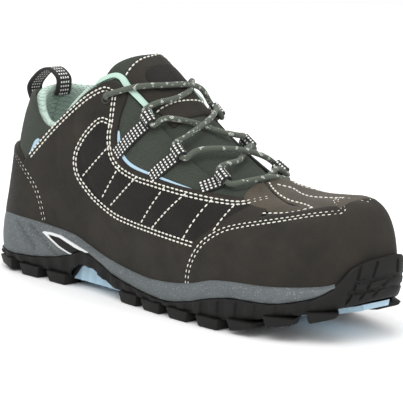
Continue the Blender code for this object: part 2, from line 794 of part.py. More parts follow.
def make_arch_plate():
    inner = [point for point in arch_points() if point.y > PLATE_BOTTOM]
    middle = Vector(((inner[0].x + inner[-1].x) / 2, PLATE_BOTTOM))
    outline = [point + (middle - point).normalized() * CLEARANCE * 1.4 for point in inner]
    outline = [Vector((outline[0].x, PLATE_BOTTOM))] + outline + [Vector((outline[-1].x, PLATE_BOTTOM))]
    prism("arch_plate", outline, -PLATE_HALF_WIDTH, PLATE_HALF_WIDTH, "blue_rubber")


def make_tread_insert():
    """Blue block under the forefoot, between the edge lugs, following the sole's underside."""
    rings = []
    for share in shares_between(INSERT_FROM, INSERT_TO):
        swing = smooth(LAST, "share", "swing", share) * BALL_WIDTH
        half = smooth(INSERT_PLAN, "share", "half", share) * BALL_WIDTH
        top = sole_line(share, "body") - CLEARANCE
        x = length_at(share, BODY_BOTTOM_OUT)
        rings.append(
            [
                Vector((x, swing - half, top)),
                Vector((x, swing + half, top)),
                Vector((x, swing + half * INSERT_TAPER, top - INSERT_THICK)),
                Vector((x, swing - half * INSERT_TAPER, top - INSERT_THICK)),
            ]
        )
    insert = loft("tread_insert", rings, "blue_rubber", ends=True)
    for side, word in ((-1, "lateral"), (1, "medial")):
        for share in SIDE_LUGS:
            if share > INSERT_FROM:
                boolean(insert, lug(f"cut_insert_{word}_{share}", share, side, more=CLEARANCE))


# Upper


def band(name, outer, inner, outline, finish, low=-BALL_WIDTH, high=BALL_WIDTH):
    """Leather or padding between two larger or smaller lasts, kept inside a side-view outline."""
    piece = last_form(name, outer, finish=finish)
    boolean(piece, last_form(f"cut_core_{name}", inner, drop=CORE_DROP))
    boolean(piece, prism(f"keep_{name}", outline, low, high), "INTERSECT")
    return piece


def make_upper():
    upper = last_form("upper", 0.0, finish="textile")
    boolean(upper, last_form("cut_foot", -UPPER_WALL, drop=UPPER_WALL * 3))
    opening = side_points(TOPLINE) + [corner(0.76, 2.2), corner(-0.2, 2.2)]
    boolean(upper, prism("cut_opening", opening))
    for side, word in ((-1, "lateral"), (1, "medial")):
        boolean(upper, eyelet_cutter(f"cut_eyelet_{word}", side))
    return upper


def eyelet_cutter(name, side):
    share = TOP_EYELET["share"]
    angle = angle_at(share, TOP_EYELET["height"] * COLLAR_HEIGHT, side)
    outside = last_point(share, angle, LEATHER * 4)
    inside = last_point(share, angle, -UPPER_WALL * 2)
    shape = bmesh.new()
    bmesh.ops.create_cone(
        shape,
        cap_ends=True,
        segments=EYELET_SIDES,
        radius1=EYELET_RADIUS,
        radius2=EYELET_RADIUS,
        depth=(outside - inside).length,
    )
    turn = (outside - inside).to_track_quat("Z", "Y").to_matrix().to_4x4()
    bmesh.ops.transform(shape, matrix=turn, verts=shape.verts)
    bmesh.ops.translate(shape, vec=(outside + inside) / 2, verts=shape.verts)
    return store(name, mesh_from(name, shape))


def leather(name, outline, finish="leather", low=-BALL_WIDTH, high=BALL_WIDTH):
    return band(name, CLEARANCE + LEATHER, CLEARANCE, outline, finish, low, high)


def make_overlays():
    gap = CLEARANCE * 0.6
    cap_edge = side_points(CAP_EDGE)
    quarter_edge = side_points(QUARTER_EDGE)
    counter_edge = side_points(COUNTER_EDGE)
    saddle_edge = side_points(SADDLE_EDGE)
    rise = CLEARANCE * 1.5
    cap_bottom = rim_line(1.08, CAP_EDGE[0]["share"], rise)
    cap_top = [p for p in beside(cap_edge, -gap) if p.y > cap_bottom[-1].y]
    leather("toe_cap", cap_bottom + cap_top + [corner(1.08, 0.9)])
    heel_bottom = rim_line(-0.06, 0.198, rise)
    counter_top = [p for p in beside(counter_edge, -gap) if p.y > heel_bottom[-1].y]
    leather("heel_counter", heel_bottom + counter_top[::-1] + [corner(-0.06, 0.69)])
    side_bottom = rim_line(0.200, CAP_EDGE[0]["share"] - 0.001, rise)
    behind = [p for p in beside(counter_edge, gap) if p.y > side_bottom[0].y and p.x > quarter_edge[0].x]
    ahead = [p for p in beside(cap_edge, gap) if p.y > side_bottom[-1].y and p.x < quarter_edge[-1].x]
    outline = side_bottom + ahead + quarter_edge[::-1] + behind
    for side, word in ((-1, "lateral"), (1, "medial")):
        low, high = (-BALL_WIDTH, 0.0) if side < 0 else (0.0, BALL_WIDTH)
        quarter = leather(f"quarter_{word}", outline, low=low, high=high)
        boolean(quarter, eyelet_cutter(f"cut_leather_eyelet_{word}", side))
    saddle_front = [p for p in beside(cap_edge, gap) if p.x > saddle_edge[-1].x]
    leather("vamp_saddle", saddle_edge + saddle_front, "saddle_leather")


def make_lining():
    outline = side_points(TOPLINE)
    front = [p + Vector((0, LINING_ROLL)) for p in outline if p.x < 0.298 * LAST_LENGTH]
    inner = [corner(0.300, 0.560), corner(-0.09, 0.560)]
    band("collar_lining", -UPPER_WALL - CLEARANCE, -UPPER_WALL - LINING_PAD, front + inner, "lining")


def make_tongue():
    outer = -UPPER_WALL - TONGUE_GAP
    outline = side_points(TONGUE_TOP) + [corner(0.76, 1.29), corner(0.735, 0.90)] + side_points(TONGUE_FOOT)
    band("tongue", outer, outer - TONGUE_PAD, outline, "textile")
    throat = [p + Vector((0, PATCH_INSET / 2)) for p in side_points(TOPLINE) if 0.33 < p.x / LAST_LENGTH < 0.45]
    top = [p for p in beside(side_points(TONGUE_TOP), -PATCH_INSET) if p.y > 1.18 * COLLAR_HEIGHT]
    patch = throat[::-1] + top + [corner(0.47, 1.29)]
    band(
        "tongue_patch",
        outer + CLEARANCE + PATCH_THICK,
        outer + CLEARANCE,
        patch,
        "leather",
        -PATCH_HALF_WIDTH,
        PATCH_HALF_WIDTH,
    )


def make_insole():
    shrink = -UPPER_WALL - INSOLE_INSET
    rings = []
    for share in STATIONS:
        seat = smooth(LAST, "share", "seat", share) * SOLE_HEIGHT
        low, high = seat, seat + INSOLE_THICK
        rings.append(
            [
                edge_point(share, -1, shrink, low),
                edge_point(share, -1, shrink, high),
                edge_point(share, 1, shrink, high),
                edge_point(share, 1, shrink, low),
            ]
        )
    loft("insole", rings, "insole_foam")


# Webbing and lace


def ribbon(name, path, across, width, thickness, finish):
    """Flat strap along a path, with its width in one direction or one for each point."""
    rings = []
    for i, point in enumerate(path):
        ahead = path[min(i + 1, len(path) - 1)]
        behind = path[max(i - 1, 0)]
        run = (ahead - behind).normalized()
        lay = across[i] if isinstance(across, list) else across
        wide = (lay - run * lay.dot(run)).normalized() * width / 2
        up = run.cross(wide).normalized() * thickness / 2
        rings.append([point - wide - up, point + wide - up, point + wide + up, point - wide + up])
    return loft(name, rings, finish, ends=True)


def loop_ring(row, side):
    """Middle, run, normal and width direction of the eye at the top of a lace loop."""
    height = row["top_height"] * COLLAR_HEIGHT
    angle = angle_at(row["top_share"], height, side)
    top = last_point(row["top_share"], angle, STRAP_LIFT)
    normal = normal_at(row["top_share"], angle)
    below_height = height - COLLAR_HEIGHT * 0.057
    below_share = row["top_share"] - 0.02
    below = last_point(below_share, angle_at(below_share, below_height, side), STRAP_LIFT)
    run = (top - below).normalized()
    normal = (normal - run * normal.dot(run)).normalized()
    radius = LACE_RADIUS + LACE_PLAY + WEBBING_THICK / 2
    return top + normal * radius, run, normal, run.cross(normal).normalized(), radius


def make_lace_loops():
    for side, word in ((-1, "lateral"), (1, "medial")):
        for number, row in enumerate(LACE_LOOPS, 1):
            middle, run, normal, wide, radius = loop_ring(row, side)
            path = []
            lay = []
            for i in range(LOOP_STEPS):
                t = i / LOOP_STEPS
                share = row["share"] * (1 - t) + row["top_share"] * t
                height = (row["height"] * (1 - t) + row["top_height"] * t) * COLLAR_HEIGHT
                angle = angle_at(share, height, side)
                path.append(last_point(share, angle, STRAP_LIFT))
                lay.append(run.cross(normal_at(share, angle)).normalized())
            for turn in map(math.radians, LOOP_TURNS):
                path.append(middle + run * (math.cos(turn) * radius) + normal * (math.sin(turn) * radius))
                lay.append(wide)
            ribbon(f"lace_loop_{word}_{number}", path, lay, WEBBING_WIDTH, WEBBING_THICK, "webbing")


def lace_strand(name, first_side):
    """One half of the lace, from its slot at the vamp through the loops to the top eyelet."""
    angle = LACE_SLOT["angle"] if first_side < 0 else 180 - LACE_SLOT["angle"]
    place = (LACE_SLOT["share"], angle)
    points = [last_point(*place, LACE_LIFT)]
    side = -first_side
    for row in reversed(LACE_LOOPS):
        middle, run, normal, wide, radius = loop_ring(row, side)
        along = wide if wide.x < 0 else -wide
        arrive = (row["top_share"], angle_at(row["top_share"], row["top_height"] * COLLAR_HEIGHT, side))
        points += crossing(place, arrive, CROSSING if len(points) > 1 else CROSSING[:3])
        points += [middle + along * reach for reach in LACE_STRAIGHT]
        place = arrive
        side = -side
    share = TOP_EYELET["share"]
    arrive = (share, angle_at(share, TOP_EYELET["height"] * COLLAR_HEIGHT, side))
    points += crossing(place, arrive, LAST_CROSSING)
    points.append(last_point(*arrive, LACE_LIFT))
    points.append(last_point(*arrive, LEATHER / 2))
    return tube(name, points, LACE_RADIUS)


def crossing(start, end, parts):
    """Points of a lace between two loops, pulled down towards the tongue in its middle."""
    found = []
    for t in parts:
        share = start[0] * (1 - t) + end[0] * t
        angle = start[1] * (1 - t) + end[1] * t
        sag = LACE_SAG * math.sin(2 * math.pi * (t - 0.25)) if t < 0.75 else 0.0
        grow = LACE_LIFT - sag
        found.append(last_point(share, angle, grow))
    return found


def tube(name, points, radius):
    """Round cord through points, as a closed mesh."""
    line = bpy.data.curves.new(name, "CURVE")
    line.dimensions = "3D"
    line.bevel_depth = radius
    line.bevel_resolution = 2
    line.use_fill_caps = True
    spline = line.splines.new("POLY")
    spline.points.add(len(points) - 1)
    for spot, point in zip(spline.points, points):
        spot.co = (*point, 1.0)
    holder = bpy.data.objects.new(f"{name}_line", line)
    CUTTERS.objects.link(holder)
    evaluated = holder.evaluated_get(bpy.context.evaluated_depsgraph_get())
    shape = bmesh.new()
    shape.from_mesh(bpy.data.meshes.new_from_object(evaluated))
    bpy.data.objects.remove(holder)
    return mesh_from(name, shape)


def make_lace():
    laces = store("laces", lace_strand("laces", -1), "lace")
    boolean(laces, store("lace_second_strand", lace_strand("lace_second_strand", 1)), "UNION")


def make_pull_loop():
    flat = [Vector((row["share"] * LAST_LENGTH, 0.0, row["height"] * COLLAR_HEIGHT)) for row in PULL_PATH]
    path = curve_through(flat, 3)
    ribbon("pull_loop", path, Vector((0, 1, 0)), PULL_WIDTH, PULL_THICK, "webbing")


def stand_on_origin():
    """Moves the shoe so that the middle of its box's underside is the origin."""
    depsgraph = bpy.context.evaluated_depsgraph_get()
    spots = []
    for piece in PARTS.objects:
        seen = piece.evaluated_get(depsgraph)
        spots += [seen.matrix_world @ Vector(spot) for spot in seen.bound_box]
    low = Vector([min(spot[i] for spot in spots) for i in range(3)])
    high = Vector([max(spot[i] for spot in spots) for i in range(3)])
    anchor = bpy.data.objects.new("safety_sneaker_anchor", None)
    bpy.context.scene.collection.objects.link(anchor)
    anchor.location = (-(low.x + high.x) / 2, -(low.y + high.y) / 2, -low.z)
    for item in list(PARTS.objects) + list(CUTTERS.objects):
        item.parent = anchor


make_sole()
make_upper()
make_overlays()
make_lining()
make_tongue()
make_insole()
make_lace_loops()
make_lace()
make_pull_loop()
stand_on_origin()
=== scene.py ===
# Safety sneaker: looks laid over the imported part. +X to the toe, +Y to the medial side, +Z up, metres
import math

import bmesh
import bpy
import numpy as np
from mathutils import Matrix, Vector


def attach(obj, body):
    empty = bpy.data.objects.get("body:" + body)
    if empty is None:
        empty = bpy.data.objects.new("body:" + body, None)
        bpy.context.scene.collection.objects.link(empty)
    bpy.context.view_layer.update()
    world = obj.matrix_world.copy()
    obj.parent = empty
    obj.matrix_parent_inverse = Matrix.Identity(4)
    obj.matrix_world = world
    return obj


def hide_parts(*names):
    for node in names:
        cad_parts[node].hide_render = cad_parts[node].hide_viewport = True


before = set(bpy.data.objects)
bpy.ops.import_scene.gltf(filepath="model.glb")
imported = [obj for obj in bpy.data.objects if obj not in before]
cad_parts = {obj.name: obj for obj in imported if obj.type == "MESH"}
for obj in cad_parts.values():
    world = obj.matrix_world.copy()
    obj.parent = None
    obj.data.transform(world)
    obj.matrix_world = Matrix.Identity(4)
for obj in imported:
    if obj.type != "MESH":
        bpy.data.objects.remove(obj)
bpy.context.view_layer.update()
print("frame loaded")

lastPlace = np.array((-0.13719, 0.00379, 0.0))  # where the last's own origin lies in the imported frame

# camera, floor and light
stageSet = {
    "target": (0.0058, 0.0038, 0.055),
    "azimuth": 43.35,
    "elevation": 10.28,
    "roll": 1.95,
    "distance": 1.300,
    "lens": 207.96,
    "shift": (-0.0030, -0.0011),
    "floor": (0.94, 0.94, 0.94),
    "floorSize": 8.0,
    "worldLight": 1.0,
    "keyPower": 9.0,
    "fillPower": 3.0,
    "rimPower": 4.5,
}


def aimAt(item, target, roll=0.0):
    item.rotation_euler = (Vector(target) - item.location).to_track_quat("-Z", "Y").to_euler()
    item.rotation_euler.rotate_axis("Z", math.radians(roll))


def makeStage():
    azimuth, elevation = math.radians(stageSet["azimuth"]), math.radians(stageSet["elevation"])
    flat = math.cos(elevation)
    back = Vector((math.sin(azimuth) * flat, -math.cos(azimuth) * flat, math.sin(elevation)))
    camera = bpy.data.objects.new("camera", bpy.data.cameras.new("camera"))
    camera.location = Vector(stageSet["target"]) + back * stageSet["distance"]
    camera.data.lens = stageSet["lens"]
    camera.data.sensor_width = 36.0
    camera.data.shift_x, camera.data.shift_y = stageSet["shift"]
    camera.data.clip_end = 20.0
    aimAt(camera, stageSet["target"], stageSet["roll"])
    bpy.context.scene.collection.objects.link(camera)
    bpy.context.scene.camera = camera
    half = stageSet["floorSize"] / 2
    sheet = bpy.data.meshes.new("floor")
    corners = [(-half, -half, 0), (half, -half, 0), (half, half, 0), (-half, half, 0)]
    sheet.from_pydata(corners, [], [(0, 1, 2, 3)])
    floor = bpy.data.objects.new("floor", sheet)
    paper = bpy.data.materials.new("paperFloor")
    paper.use_nodes = True
    shader = paper.node_tree.nodes["Principled BSDF"]
    shader.inputs["Base Color"].default_value = (*stageSet["floor"], 1)
    shader.inputs["Roughness"].default_value = 0.9
    shader.inputs["Specular IOR Level"].default_value = 0.1
    sheet.materials.append(paper)
    bpy.context.scene.collection.objects.link(floor)
    world = bpy.data.worlds.new("studio")
    world.use_nodes = True
    world.node_tree.nodes["Background"].inputs["Color"].default_value = (1, 1, 1, 1)
    world.node_tree.nodes["Background"].inputs["Strength"].default_value = stageSet["worldLight"]
    bpy.context.scene.world = world
    for name, spot, size, power in (
        ("keyLight", (0.35, -0.75, 1.15), 0.9, stageSet["keyPower"]),
        ("fillLight", (1.2, 0.2, 0.7), 1.1, stageSet["fillPower"]),
        ("backLight", (-0.9, 0.6, 0.9), 0.8, stageSet["rimPower"]),
    ):
        lamp = bpy.data.lights.new(name, "AREA")
        lamp.size = size
        lamp.energy = power
        holder = bpy.data.objects.new(name, lamp)
        holder.location = spot
        aimAt(holder, (0, 0, 0.05))
        bpy.context.scene.collection.objects.link(holder)
    bpy.context.scene.view_settings.view_transform = "Standard"
    print("camera, floor and light made")


makeStage()

# the last that the whole shoe lies on
last = {
    "length": 0.274,
    "ballWidth": 0.091,
    "instep": 0.0975,
    "collar": 0.105,
    "sole": 0.032,
    "heelLean": 0.0125,
    "heelRound": (0.036, 2.2),
    "toeRound": (0.066, 2.25),
    "medialToe": (0.095, 2.05),
    "medialCorner": 0.86,
    "heelFlush": 0.5,
    "heelFlushTo": 0.15,
    "toeDrop": (0.030, 2.5),
    "sideBulge": 0.0012,
}
lastRows = [  # share, lateral, medial, swing, seat, ridge, square
    (0.000, 0.340, 0.340, 0.000, 0.810, 1.83, 3.2),
    (0.077, 0.352, 0.346, 0.000, 0.810, 1.73, 3.2),
    (0.150, 0.363, 0.352, 0.000, 0.805, 1.63, 3.2),
    (0.223, 0.368, 0.346, 0.000, 0.794, 1.54, 3.2),
    (0.296, 0.379, 0.332, 0.000, 0.773, 1.46, 3.1),
    (0.369, 0.396, 0.315, 0.000, 0.670, 1.37, 3.0),
    (0.423, 0.412, 0.312, 0.000, 0.545, 1.27, 3.0),
    (0.478, 0.434, 0.322, 0.000, 0.470, 1.15, 2.9),
    (0.551, 0.473, 0.352, 0.002, 0.430, 1.00, 2.7),
    (0.624, 0.505, 0.392, 0.008, 0.425, 0.868, 2.5),
    (0.690, 0.522, 0.412, 0.014, 0.465, 0.780, 2.25),
    (0.752, 0.531, 0.416, 0.022, 0.535, 0.738, 2.2),
    (0.825, 0.531, 0.400, 0.033, 0.605, 0.718, 2.3),
    (0.880, 0.527, 0.372, 0.044, 0.675, 0.728, 2.5),
    (0.934, 0.516, 0.338, 0.050, 0.770, 0.745, 2.6),
    (1.000, 0.500, 0.298, 0.055, 0.905, 0.770, 2.6),
]
leanRows = [  # height, lean
    (0.19, -0.12),
    (0.30, -0.08),
    (0.43, 0.16),
    (0.57, 0.40),
    (0.71, 0.58),
    (0.86, 0.92),
    (0.98, 1.36),
    (1.14, 1.90),
]
soleRows = [  # share, rim, split, body
    (-0.015, 1.060, 0.312, 0.270),
    (0.077, 1.047, 0.320, 0.225),
    (0.157, 1.020, 0.356, 0.190),
    (0.215, 0.985, 0.415, 0.180),
    (0.288, 0.930, 0.562, 0.172),
    (0.332, 0.826, 0.697, 0.172),
    (0.383, 0.695, 0.569, 0.172),
    (0.423, 0.625, 0.431, 0.172),
    (0.480, 0.560, 0.335, 0.172),
    (0.533, 0.534, 0.285, 0.165),
    (0.588, 0.562, 0.256, 0.163),
    (0.650, 0.637, 0.340, 0.163),
    (0.723, 0.800, 0.512, 0.163),
    (0.777, 0.845, 0.591, 0.205),
    (0.847, 0.870, 0.605, 0.344),
    (0.921, 0.931, 0.745, 0.487),
    (0.940, 0.955, 0.840, 0.522),
    (0.955, 1.000, 0.950, 0.570),
    (0.975, 1.290, 1.000, 0.635),
    (1.000, 1.450, 1.050, 0.730),
    (1.026, 1.520, 1.100, 0.830),
]


def curveOf(rows, column):  # smooth curve through one column of a table, by its first column
    spots = np.array([row[0] for row in rows])
    values = np.array([row[column] for row in rows])
    slopes = np.diff(values) / np.diff(spots)
    before, after = slopes[:-1], slopes[1:]
    rising = before * after > 0
    middle = np.where(rising, 2 * before * after / np.where(rising, before + after, 1.0), 0.0)
    tangents = np.concatenate(([slopes[0]], middle, [slopes[-1]]))

    def valueAt(where):
        where = np.clip(where, spots[0], spots[-1])
        i = np.clip(np.searchsorted(spots, where, side="right") - 1, 0, len(spots) - 2)
        span = spots[i + 1] - spots[i]
        t = (where - spots[i]) / span
        return (
            (2 * t**3 - 3 * t**2 + 1) * values[i]
            + (t**3 - 2 * t**2 + t) * span * tangents[i]
            + (3 * t**2 - 2 * t**3) * values[i + 1]
            + (t**3 - t**2) * span * tangents[i + 1]
        )

    return valueAt


lateralAt, medialAt, swingAt = (curveOf(lastRows, column) for column in range(1, 4))
seatAt, ridgeAt, squareAt = (curveOf(lastRows, column) for column in range(4, 7))
rimAt, splitAt, bodyAt = (curveOf(soleRows, column) for column in range(1, 4))
leanCurve = curveOf(leanRows, 1)


def roundOff(distance, zone):
    u = np.clip(1 - distance / zone[0], 0, 1)
    return (1 - u ** zone[1]) ** (1 / zone[1])


def leanAt(share, height):
    fade = np.clip(1 - share / 0.40, 0, 1) ** 1.5
    return last["heelLean"] * leanCurve(height / last["collar"]) * fade


def planAt(share, grow, lateral):
    whole = last["length"] + 2 * grow
    ahead = whole - share * whole
    front = np.where(lateral, roundOff(ahead, last["toeRound"]), roundOff(ahead, last["medialToe"]))
    return roundOff(share * whole, last["heelRound"]) * front


def edgePoint(share, side, grow, height):
    side = np.asarray(side)
    flush = last["heelFlush"] + (1 - last["heelFlush"]) * np.clip(share / last["heelFlushTo"], 0, 1)
    grow = grow * np.where(np.asarray(grow) > 0, flush, 1.0)
    half = np.where(side < 0, lateralAt(share), medialAt(share)) * last["ballWidth"] + grow
    x = -grow + share * (last["length"] + 2 * grow) + leanAt(share, height)
    y = swingAt(share) * last["ballWidth"] + side * half * planAt(share, grow, side < 0)
    return np.stack(np.broadcast_arrays(x, y, height), -1)


def lastPoint(share, angle, grow):
    lateral = angle <= 90
    turn = np.radians(np.where(lateral, angle, 180 - angle))
    boxy = 1 - (1 - last["medialCorner"]) * np.sin(math.pi * np.asarray(share))
    power = squareAt(share) * np.where(lateral, 1.0, boxy)
    seat = seatAt(share) * last["sole"] - grow
    ridge = ridgeAt(share) * last["instep"] + grow
    whole = last["length"] + 2 * grow
    high = roundOff((1 - share) * whole, last["toeDrop"])
    plan = planAt(share, grow, lateral)
    half = (np.where(lateral, lateralAt(share), medialAt(share)) * last["ballWidth"] + grow) * plan
    cosine = np.clip(np.cos(turn), 0, None)
    sine = np.sin(turn)
    radius = (cosine**power + sine**power) ** (-1 / power)
    out = half * radius * cosine + last["sideBulge"] * plan * high * np.sin(2 * turn)
    height = seat + (ridge - seat) * high * radius * sine
    y = swingAt(share) * last["ballWidth"] + np.where(lateral, -1, 1) * out
    x = -grow + share * whole + leanAt(share, height)
    return np.stack(np.broadcast_arrays(x, y, height), -1)


def angleAt(share, height, side, grow=0.0):
    share = np.asarray(share, float)
    low = np.where(side < 0, 0.0, 180.0) + 0 * share
    high = 90.0 + 0 * share
    for _ in range(30):
        middle = (low + high) / 2
        under = lastPoint(share, middle, grow)[..., 2] < height
        low, high = np.where(under, middle, low), np.where(under, high, middle)
    return (low + high) / 2


def fromSide(x, z, side, grow=0.0):  # share and angle of a place that is seen from the side
    share = np.asarray(x, float) / last["length"]
    for _ in range(6):
        share = np.clip((x - leanAt(share, z) + grow) / (last["length"] + 2 * grow), 0, 1)
    return share, angleAt(share, z, side, grow)


def smoothLine(points, steps=8):  # Catmull-Rom line through points
    points = np.asarray(points, float)
    padded = np.vstack([2 * points[0] - points[1], points, 2 * points[-1] - points[-2]])
    found = []
    for i in range(1, len(padded) - 2):
        a, b, c, d = padded[i - 1 : i + 3]
        for t in np.arange(steps) / steps:
            bend = (2 * a - 5 * b + 4 * c - d) * t**2 + (3 * b - a - 3 * c + d) * t**3
            found.append((2 * b + (c - a) * t + bend) / 2)
    return np.array(found + [points[-1]])


def runAlong(points):  # distance from the line's start at each of its points
    return np.concatenate(([0], np.cumsum(np.linalg.norm(np.diff(points, axis=0), axis=1))))


def unitRows(rows):
    return rows / np.maximum(np.linalg.norm(rows, axis=-1, keepdims=True), 1e-12)


def softened(line, passes):  # the same line, smoother between its ends
    for _ in range(passes):
        line[1:-1] = (line[:-2] + 2 * line[1:-1] + line[2:]) / 4
    return line


def evenLine(points, step):  # the same line with points a step apart
    points = np.asarray(points, float)
    run = runAlong(points)
    count = max(int(round(run[-1] / step)), 2)
    where = np.linspace(0, run[-1], count + 1)
    return np.stack([np.interp(where, run, points[:, k]) for k in range(points.shape[1])], -1)


def sideOutline(rows, steps=8):  # rows of (share along, share of the collar's height) as a line in metres
    return smoothLine(np.array(rows) * (last["length"], last["collar"]), steps)


# patches: triangles over two parameters of a form, which can be cut, made finer and thickened
def makePatch(first, second, form):
    a, b = np.meshgrid(first, second, indexing="ij")
    rows, columns = a.shape
    index = np.arange(rows * columns).reshape(rows, columns)
    p, q, r, s = index[:-1, :-1], index[1:, :-1], index[1:, 1:], index[:-1, 1:]
    tris = np.concatenate([np.stack([p, q, r], -1).reshape(-1, 3), np.stack([p, r, s], -1).reshape(-1, 3)])
    return {"a": a.ravel(), "b": b.ravel(), "tris": tris, "form": form}


skin = 0.0016  # how far out of the last the panels' outlines are measured


def spots(patch, grow=skin):
    return patch["form"](patch["a"], patch["b"], grow)


def splitAlong(patch, values, snap=0.00004):  # new edges where the values cross zero
    values = np.where(np.abs(values) < snap, 0.0, values)
    a, b, tris = list(patch["a"]), list(patch["b"]), patch["tris"]
    signs = np.sign(values)[tris]
    crossing = (signs.min(axis=1) < 0) & (signs.max(axis=1) > 0)
    made = {}

    def between(i, j):
        key = (min(i, j), max(i, j))
        if key not in made:
            t = values[i] / (values[i] - values[j])
            made[key] = len(a)
            a.append(a[i] + t * (a[j] - a[i]))
            b.append(b[i] + t * (b[j] - b[i]))
        return made[key]

    new = []
    for tri in tris[crossing].tolist():
        sides = [int(values[k] > 0) - int(values[k] < 0) for k in tri]
        lone = sides.index(0) if 0 in sides else (sides.index(1) if sides.count(1) == 1 else sides.index(-1))
        i, j, k = tri[lone], tri[(lone + 1) % 3], tri[(lone + 2) % 3]
        if sides[lone] == 0:
            m = between(j, k)
            new += [(i, j, m), (i, m, k)]
        else:
            m, n = between(i, j), between(i, k)
            new += [(i, m, n), (m, j, k), (m, k, n)]
    if new:
        tris = np.concatenate([tris[~crossing], np.array(new)])
    return {**patch, "a": np.array(a), "b": np.array(b), "tris": tris}


def keepInside(patch, field):  # cuts the patch where the field is zero and keeps what is above
    patch = splitAlong(patch, field(patch))
    values = field(patch)
    values = np.where(np.abs(values) < 0.00006, 0.0, values)
    kept = patch["tris"][values[patch["tris"]].sum(axis=1) > 0]
    used, index = np.unique(kept, return_inverse=True)
    return {**patch, "a": patch["a"][used], "b": patch["b"][used], "tris": index.reshape(-1, 3)}


def makeFiner(patch, near):  # halves the edges whose two ends are both near
    a, b, tris = list(patch["a"]), list(patch["b"]), patch["tris"]
    touched = near[tris].sum(axis=1) >= 2
    made = {}

    def half(i, j):
        if not (near[i] and near[j]):
            return None
        key = (min(i, j), max(i, j))
        if key not in made:
            made[key] = len(a)
            a.append((a[i] + a[j]) / 2)
            b.append((b[i] + b[j]) / 2)
        return made[key]

    new = []
    for i, j, k in tris[touched].tolist():
        m, n, o = half(i, j), half(j, k), half(k, i)
        if m is not None and n is not None and o is not None:
            new += [(i, m, o), (m, j, n), (o, n, k), (m, n, o)]
        elif m is not None:
            new += [(i, m, k), (m, j, k)]
        elif n is not None:
            new += [(j, n, i), (n, k, i)]
        elif o is not None:
            new += [(k, o, j), (o, i, j)]
        else:
            new.append((i, j, k))
    tris = np.concatenate([tris[~touched], np.array(new)])
    return {**patch, "a": np.array(a), "b": np.array(b), "tris": tris}


def inOutline(points, outline):  # distance to a closed outline, more than zero inside
    starts, ends = outline, np.roll(outline, -1, axis=0)
    reach = ends - starts
    size = np.maximum((reach**2).sum(axis=1), 1e-14)
    found = np.empty(len(points))
    for low in range(0, len(points), 20000):
        part = points[low : low + 20000]
        away = part[:, None, :] - starts[None]
        t = np.clip((away * reach).sum(-1) / size, 0, 1)
        distance = np.sqrt((((away - t[..., None] * reach) ** 2).sum(-1)).min(axis=1))
        y, y0, y1 = part[:, 1:2], starts[None, :, 1], ends[None, :, 1]
        spans = (y0 > y) != (y1 > y)
        cross = starts[None, :, 0] + (y - y0) / np.where(y1 == y0, 1e-12, y1 - y0) * reach[None, :, 0]
        inside = (spans & (part[:, 0:1] < cross)).sum(axis=1) % 2 == 1
        found[low : low + 20000] = np.where(inside, distance, -distance)
    return found


def lineDistance(points, line):  # distance to an open line
    starts, reach = line[:-1], np.diff(line, axis=0)
    size = np.maximum((reach**2).sum(axis=1), 1e-14)
    found = np.full(len(points), 1.0)
    for low in range(0, len(points), 20000):
        part = points[low : low + 20000]
        away = part[:, None, :] - starts[None]
        t = np.clip((away * reach).sum(-1) / size, 0, 1)
        found[low : low + 20000] = np.sqrt((((away - t[..., None] * reach) ** 2).sum(-1)).min(axis=1))
    return found


def linesAway(points, lines):  # distance to the nearest of several lines
    found = np.full(len(points), 1.0)
    for line in lines:
        found = np.minimum(found, lineDistance(points, line))
    return found


def finerAlong(patch, lines, reaches, grow=skin):
    for reach in reaches:
        near = linesAway(spots(patch, grow), lines) < reach
        if near.any():
            patch = makeFiner(patch, near)
    return patch


def sideField(outline, grow=skin):
    def field(patch):
        return inOutline(spots(patch, grow)[:, [0, 2]], outline)

    return field


def rounding(away, width):  # one at an edge and nothing from a width inside it
    return np.clip(1 - away / width, 0, 1) ** 2


def dent(away, width):
    return np.exp(-((away / width) ** 2))


def tubeFaces(rings, count, turned=False, capped=True, around=None):  # faces between rings of points
    faces = []
    for i in range(rings - 1):
        for j in range(count if around is None else around):
            k = (j + 1) % count
            face = (i * count + j, i * count + k, (i + 1) * count + k, (i + 1) * count + j)
            faces.append(face[::-1] if turned else face)
    if capped:
        end = (rings - 1) * count
        caps = [tuple(range(count))[::-1], tuple(range(end, end + count))]
        faces += [cap[::-1] for cap in caps] if turned else caps
    return faces


def linkPiece(name, mesh):
    item = bpy.data.objects.new(name, mesh)
    bpy.context.scene.collection.objects.link(item)
    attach(item, "root")
    return item


def addMesh(name, points, faces, finishes, nodes=(), uv=None, faceSlots=None, sharp=42):
    mesh = bpy.data.meshes.new(name)
    mesh.from_pydata((np.asarray(points) + lastPlace).tolist(), [], [list(face) for face in faces])
    for finish in finishes:
        mesh.materials.append(finish)
    mesh.polygons.foreach_set("use_smooth", [True] * len(mesh.polygons))
    if uv is not None:
        layer = mesh.uv_layers.new(name="surface")
        corners = np.empty(len(mesh.loops), dtype=np.int32)
        mesh.loops.foreach_get("vertex_index", corners)
        layer.data.foreach_set("uv", np.asarray(uv)[corners].astype(np.float32).ravel())
    if faceSlots is not None:
        mesh.polygons.foreach_set("material_index", np.asarray(faceSlots, dtype=np.int32))
    mesh.validate()
    mesh.set_sharp_from_angle(angle=math.radians(sharp))
    item = linkPiece(name, mesh)
    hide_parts(*nodes)
    return item


gridShares, gridAngles = np.linspace(0, 1, 121), np.linspace(0, 180, 181)
gridSpots = lastPoint(gridShares[:, None], gridAngles[None, :], 0.0)
gridRound = np.concatenate(
    [np.zeros((121, 1)), np.cumsum(np.linalg.norm(np.diff(gridSpots, axis=1), axis=2), axis=1)], axis=1
)
gridRound -= gridRound[:, 90:91]


